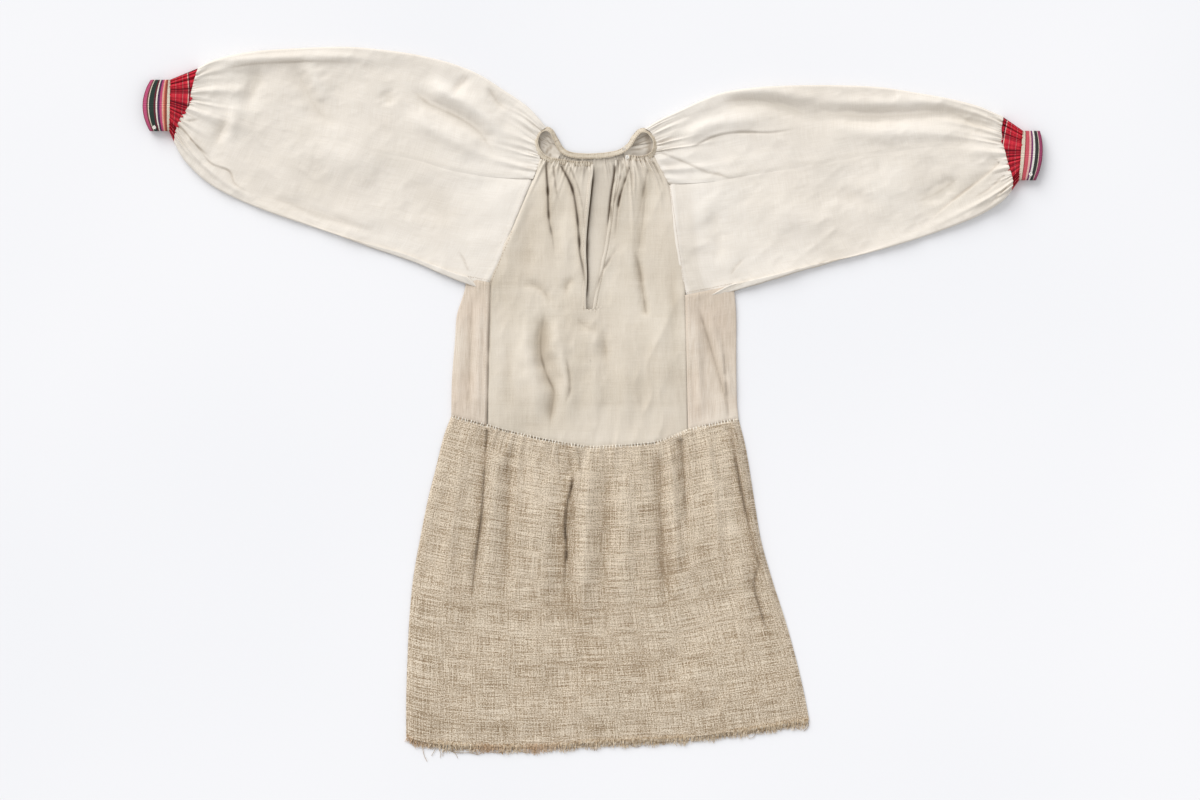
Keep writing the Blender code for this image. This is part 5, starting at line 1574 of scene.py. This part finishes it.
def buttonPiece():
    x, y, z = centre = (58.6, 401.6, 9.9)
    strands = [ringStrand(centre, 2.5, 0.62, 3, 60, 0.35), ringStrand(centre, 2.3, 0.5, 4, 60, 0.5)]
    for angle in (0.3, 1.35, 2.4):
        right, up = math.cos(angle) * 2.4, math.sin(angle) * 2.4
        rows = [(x - right, y - up, z + 0.3), (x, y, z + 0.75), (x + right, y + up, z + 0.3)]
        strands.append(bentStrand(rows, 60, 0.42, 1.0))
    tail = [(57.6, 399.4, 9.6), (56.4, 395.6, 9.0), (58.2, 392.4, 8.2), (57.0, 389.4, 7.6)]
    strands.append(bentStrand(tail, 60, 0.42, 0.8))
    threadPiece("neckButtonRing", strands, whiteThread, "white_thread", ("neck_button",), 6)


buttonPiece()
knotSize = {"coils": 4, "coilRadius": 1.45, "coilStep": 0.32, "thread": 0.44, "tailThread": 0.36,
            "rings": 30}


def knotPiece(name, node, centre, seed):
    size = knotSize
    picks = np.random.RandomState(seed)
    x, y, z = centre
    strands = []
    for i in range(size["coils"]):
        middle = (x + picks.normal(0, 0.35), y + picks.normal(0, 0.35), z + 0.2 * i)
        radius = size["coilRadius"] + size["coilStep"] * i
        tilt = picks.uniform(-0.5, 0.5)
        strands.append(ringStrand(middle, radius, size["thread"], 1.6, size["rings"], 0.4, tilt))
    for right, up in ((-1.0, -2.6), (1.6, -2.2), (0.4, 2.6)):
        rows = [(x + right * reach, y + up * reach, z + lift)
                for reach, lift in ((0, 0), (0.8, 0.2), (1.5, -1.2))]
        strands.append(bentStrand(rows, size["rings"], size["tailThread"], 0.7))
    threadPiece(name, strands, whiteThread, "white_thread", (node,))


knotPiece("cuffKnotLeftThread", "cuff_knot_left", (-705, 449, 16.6), 461)
knotPiece("cuffKnotRightThread", "cuff_knot_right", (709.4, 373.4, 16.8), 463)
print("stitches, button and knots made")


# Floor, light and camera

def floorMaterial():
    material, tree, shader, cloth, place = startMaterial("paleTable", 0.9, 0.1)
    cloud = noiseNode(tree, place, 1.4, 1)
    colour = rampNode(tree, cloud, ((0.3, (0.80, 0.805, 0.83)), (0.7, (0.83, 0.83, 0.85))))
    tree.links.new(colour, shader.inputs["Base Color"])
    return material


floorSize = {"side": 14, "height": -0.0006}


def addFloor():
    bpy.ops.object.select_all(action="DESELECT")
    bpy.ops.mesh.primitive_plane_add(size=floorSize["side"], location=(0, 0, floorSize["height"]))
    floor = bpy.context.object
    floor.name = "paleFloor"
    bpy.ops.object.transform_apply(location=True, rotation=True, scale=True)
    floor.data.materials.append(floorMaterial())


lightLook = {"world": 0.73, "sun": 2.37, "softness": 44, "fromTop": 47, "fromSide": -38}


def addLight():
    world = bpy.data.worlds.new("studio")
    bpy.context.scene.world = world
    world.use_nodes = True
    sky = world.node_tree.nodes["Background"]
    sky.inputs[0].default_value = (1, 1, 1, 1)
    sky.inputs[1].default_value = lightLook["world"]
    bpy.ops.object.light_add(type="SUN", location=(0, 2, 3))
    sun = bpy.context.object
    sun.name = "softKey"
    sun.data.energy = lightLook["sun"]
    sun.data.angle = math.radians(lightLook["softness"])
    sun.rotation_euler = (math.radians(-lightLook["fromTop"]), math.radians(lightLook["fromSide"]), 0)


# Camera sizes: x and y in millimetres, height and the width that it sees in metres.
cameraLook = {"height": 6.0, "x": 11.89, "y": 5.82, "viewWidth": 1.9407, "clothHeight": 0.005, "sensor": 36}


def addCamera():
    look = cameraLook
    bpy.ops.object.camera_add(location=(look["x"] * mm, look["y"] * mm, look["height"]))
    camera = bpy.context.object
    camera.name = "overheadCamera"
    camera.rotation_euler = (0, 0, 0)
    camera.data.sensor_width = look["sensor"]
    camera.data.lens = look["sensor"] * (look["height"] - look["clothHeight"]) / look["viewWidth"]
    camera.data.clip_start = 0.1
    camera.data.clip_end = 50
    bpy.context.scene.camera = camera
    bpy.context.scene.view_settings.view_transform = "Standard"


addFloor()
addLight()
addCamera()
print("floor, light and camera made")
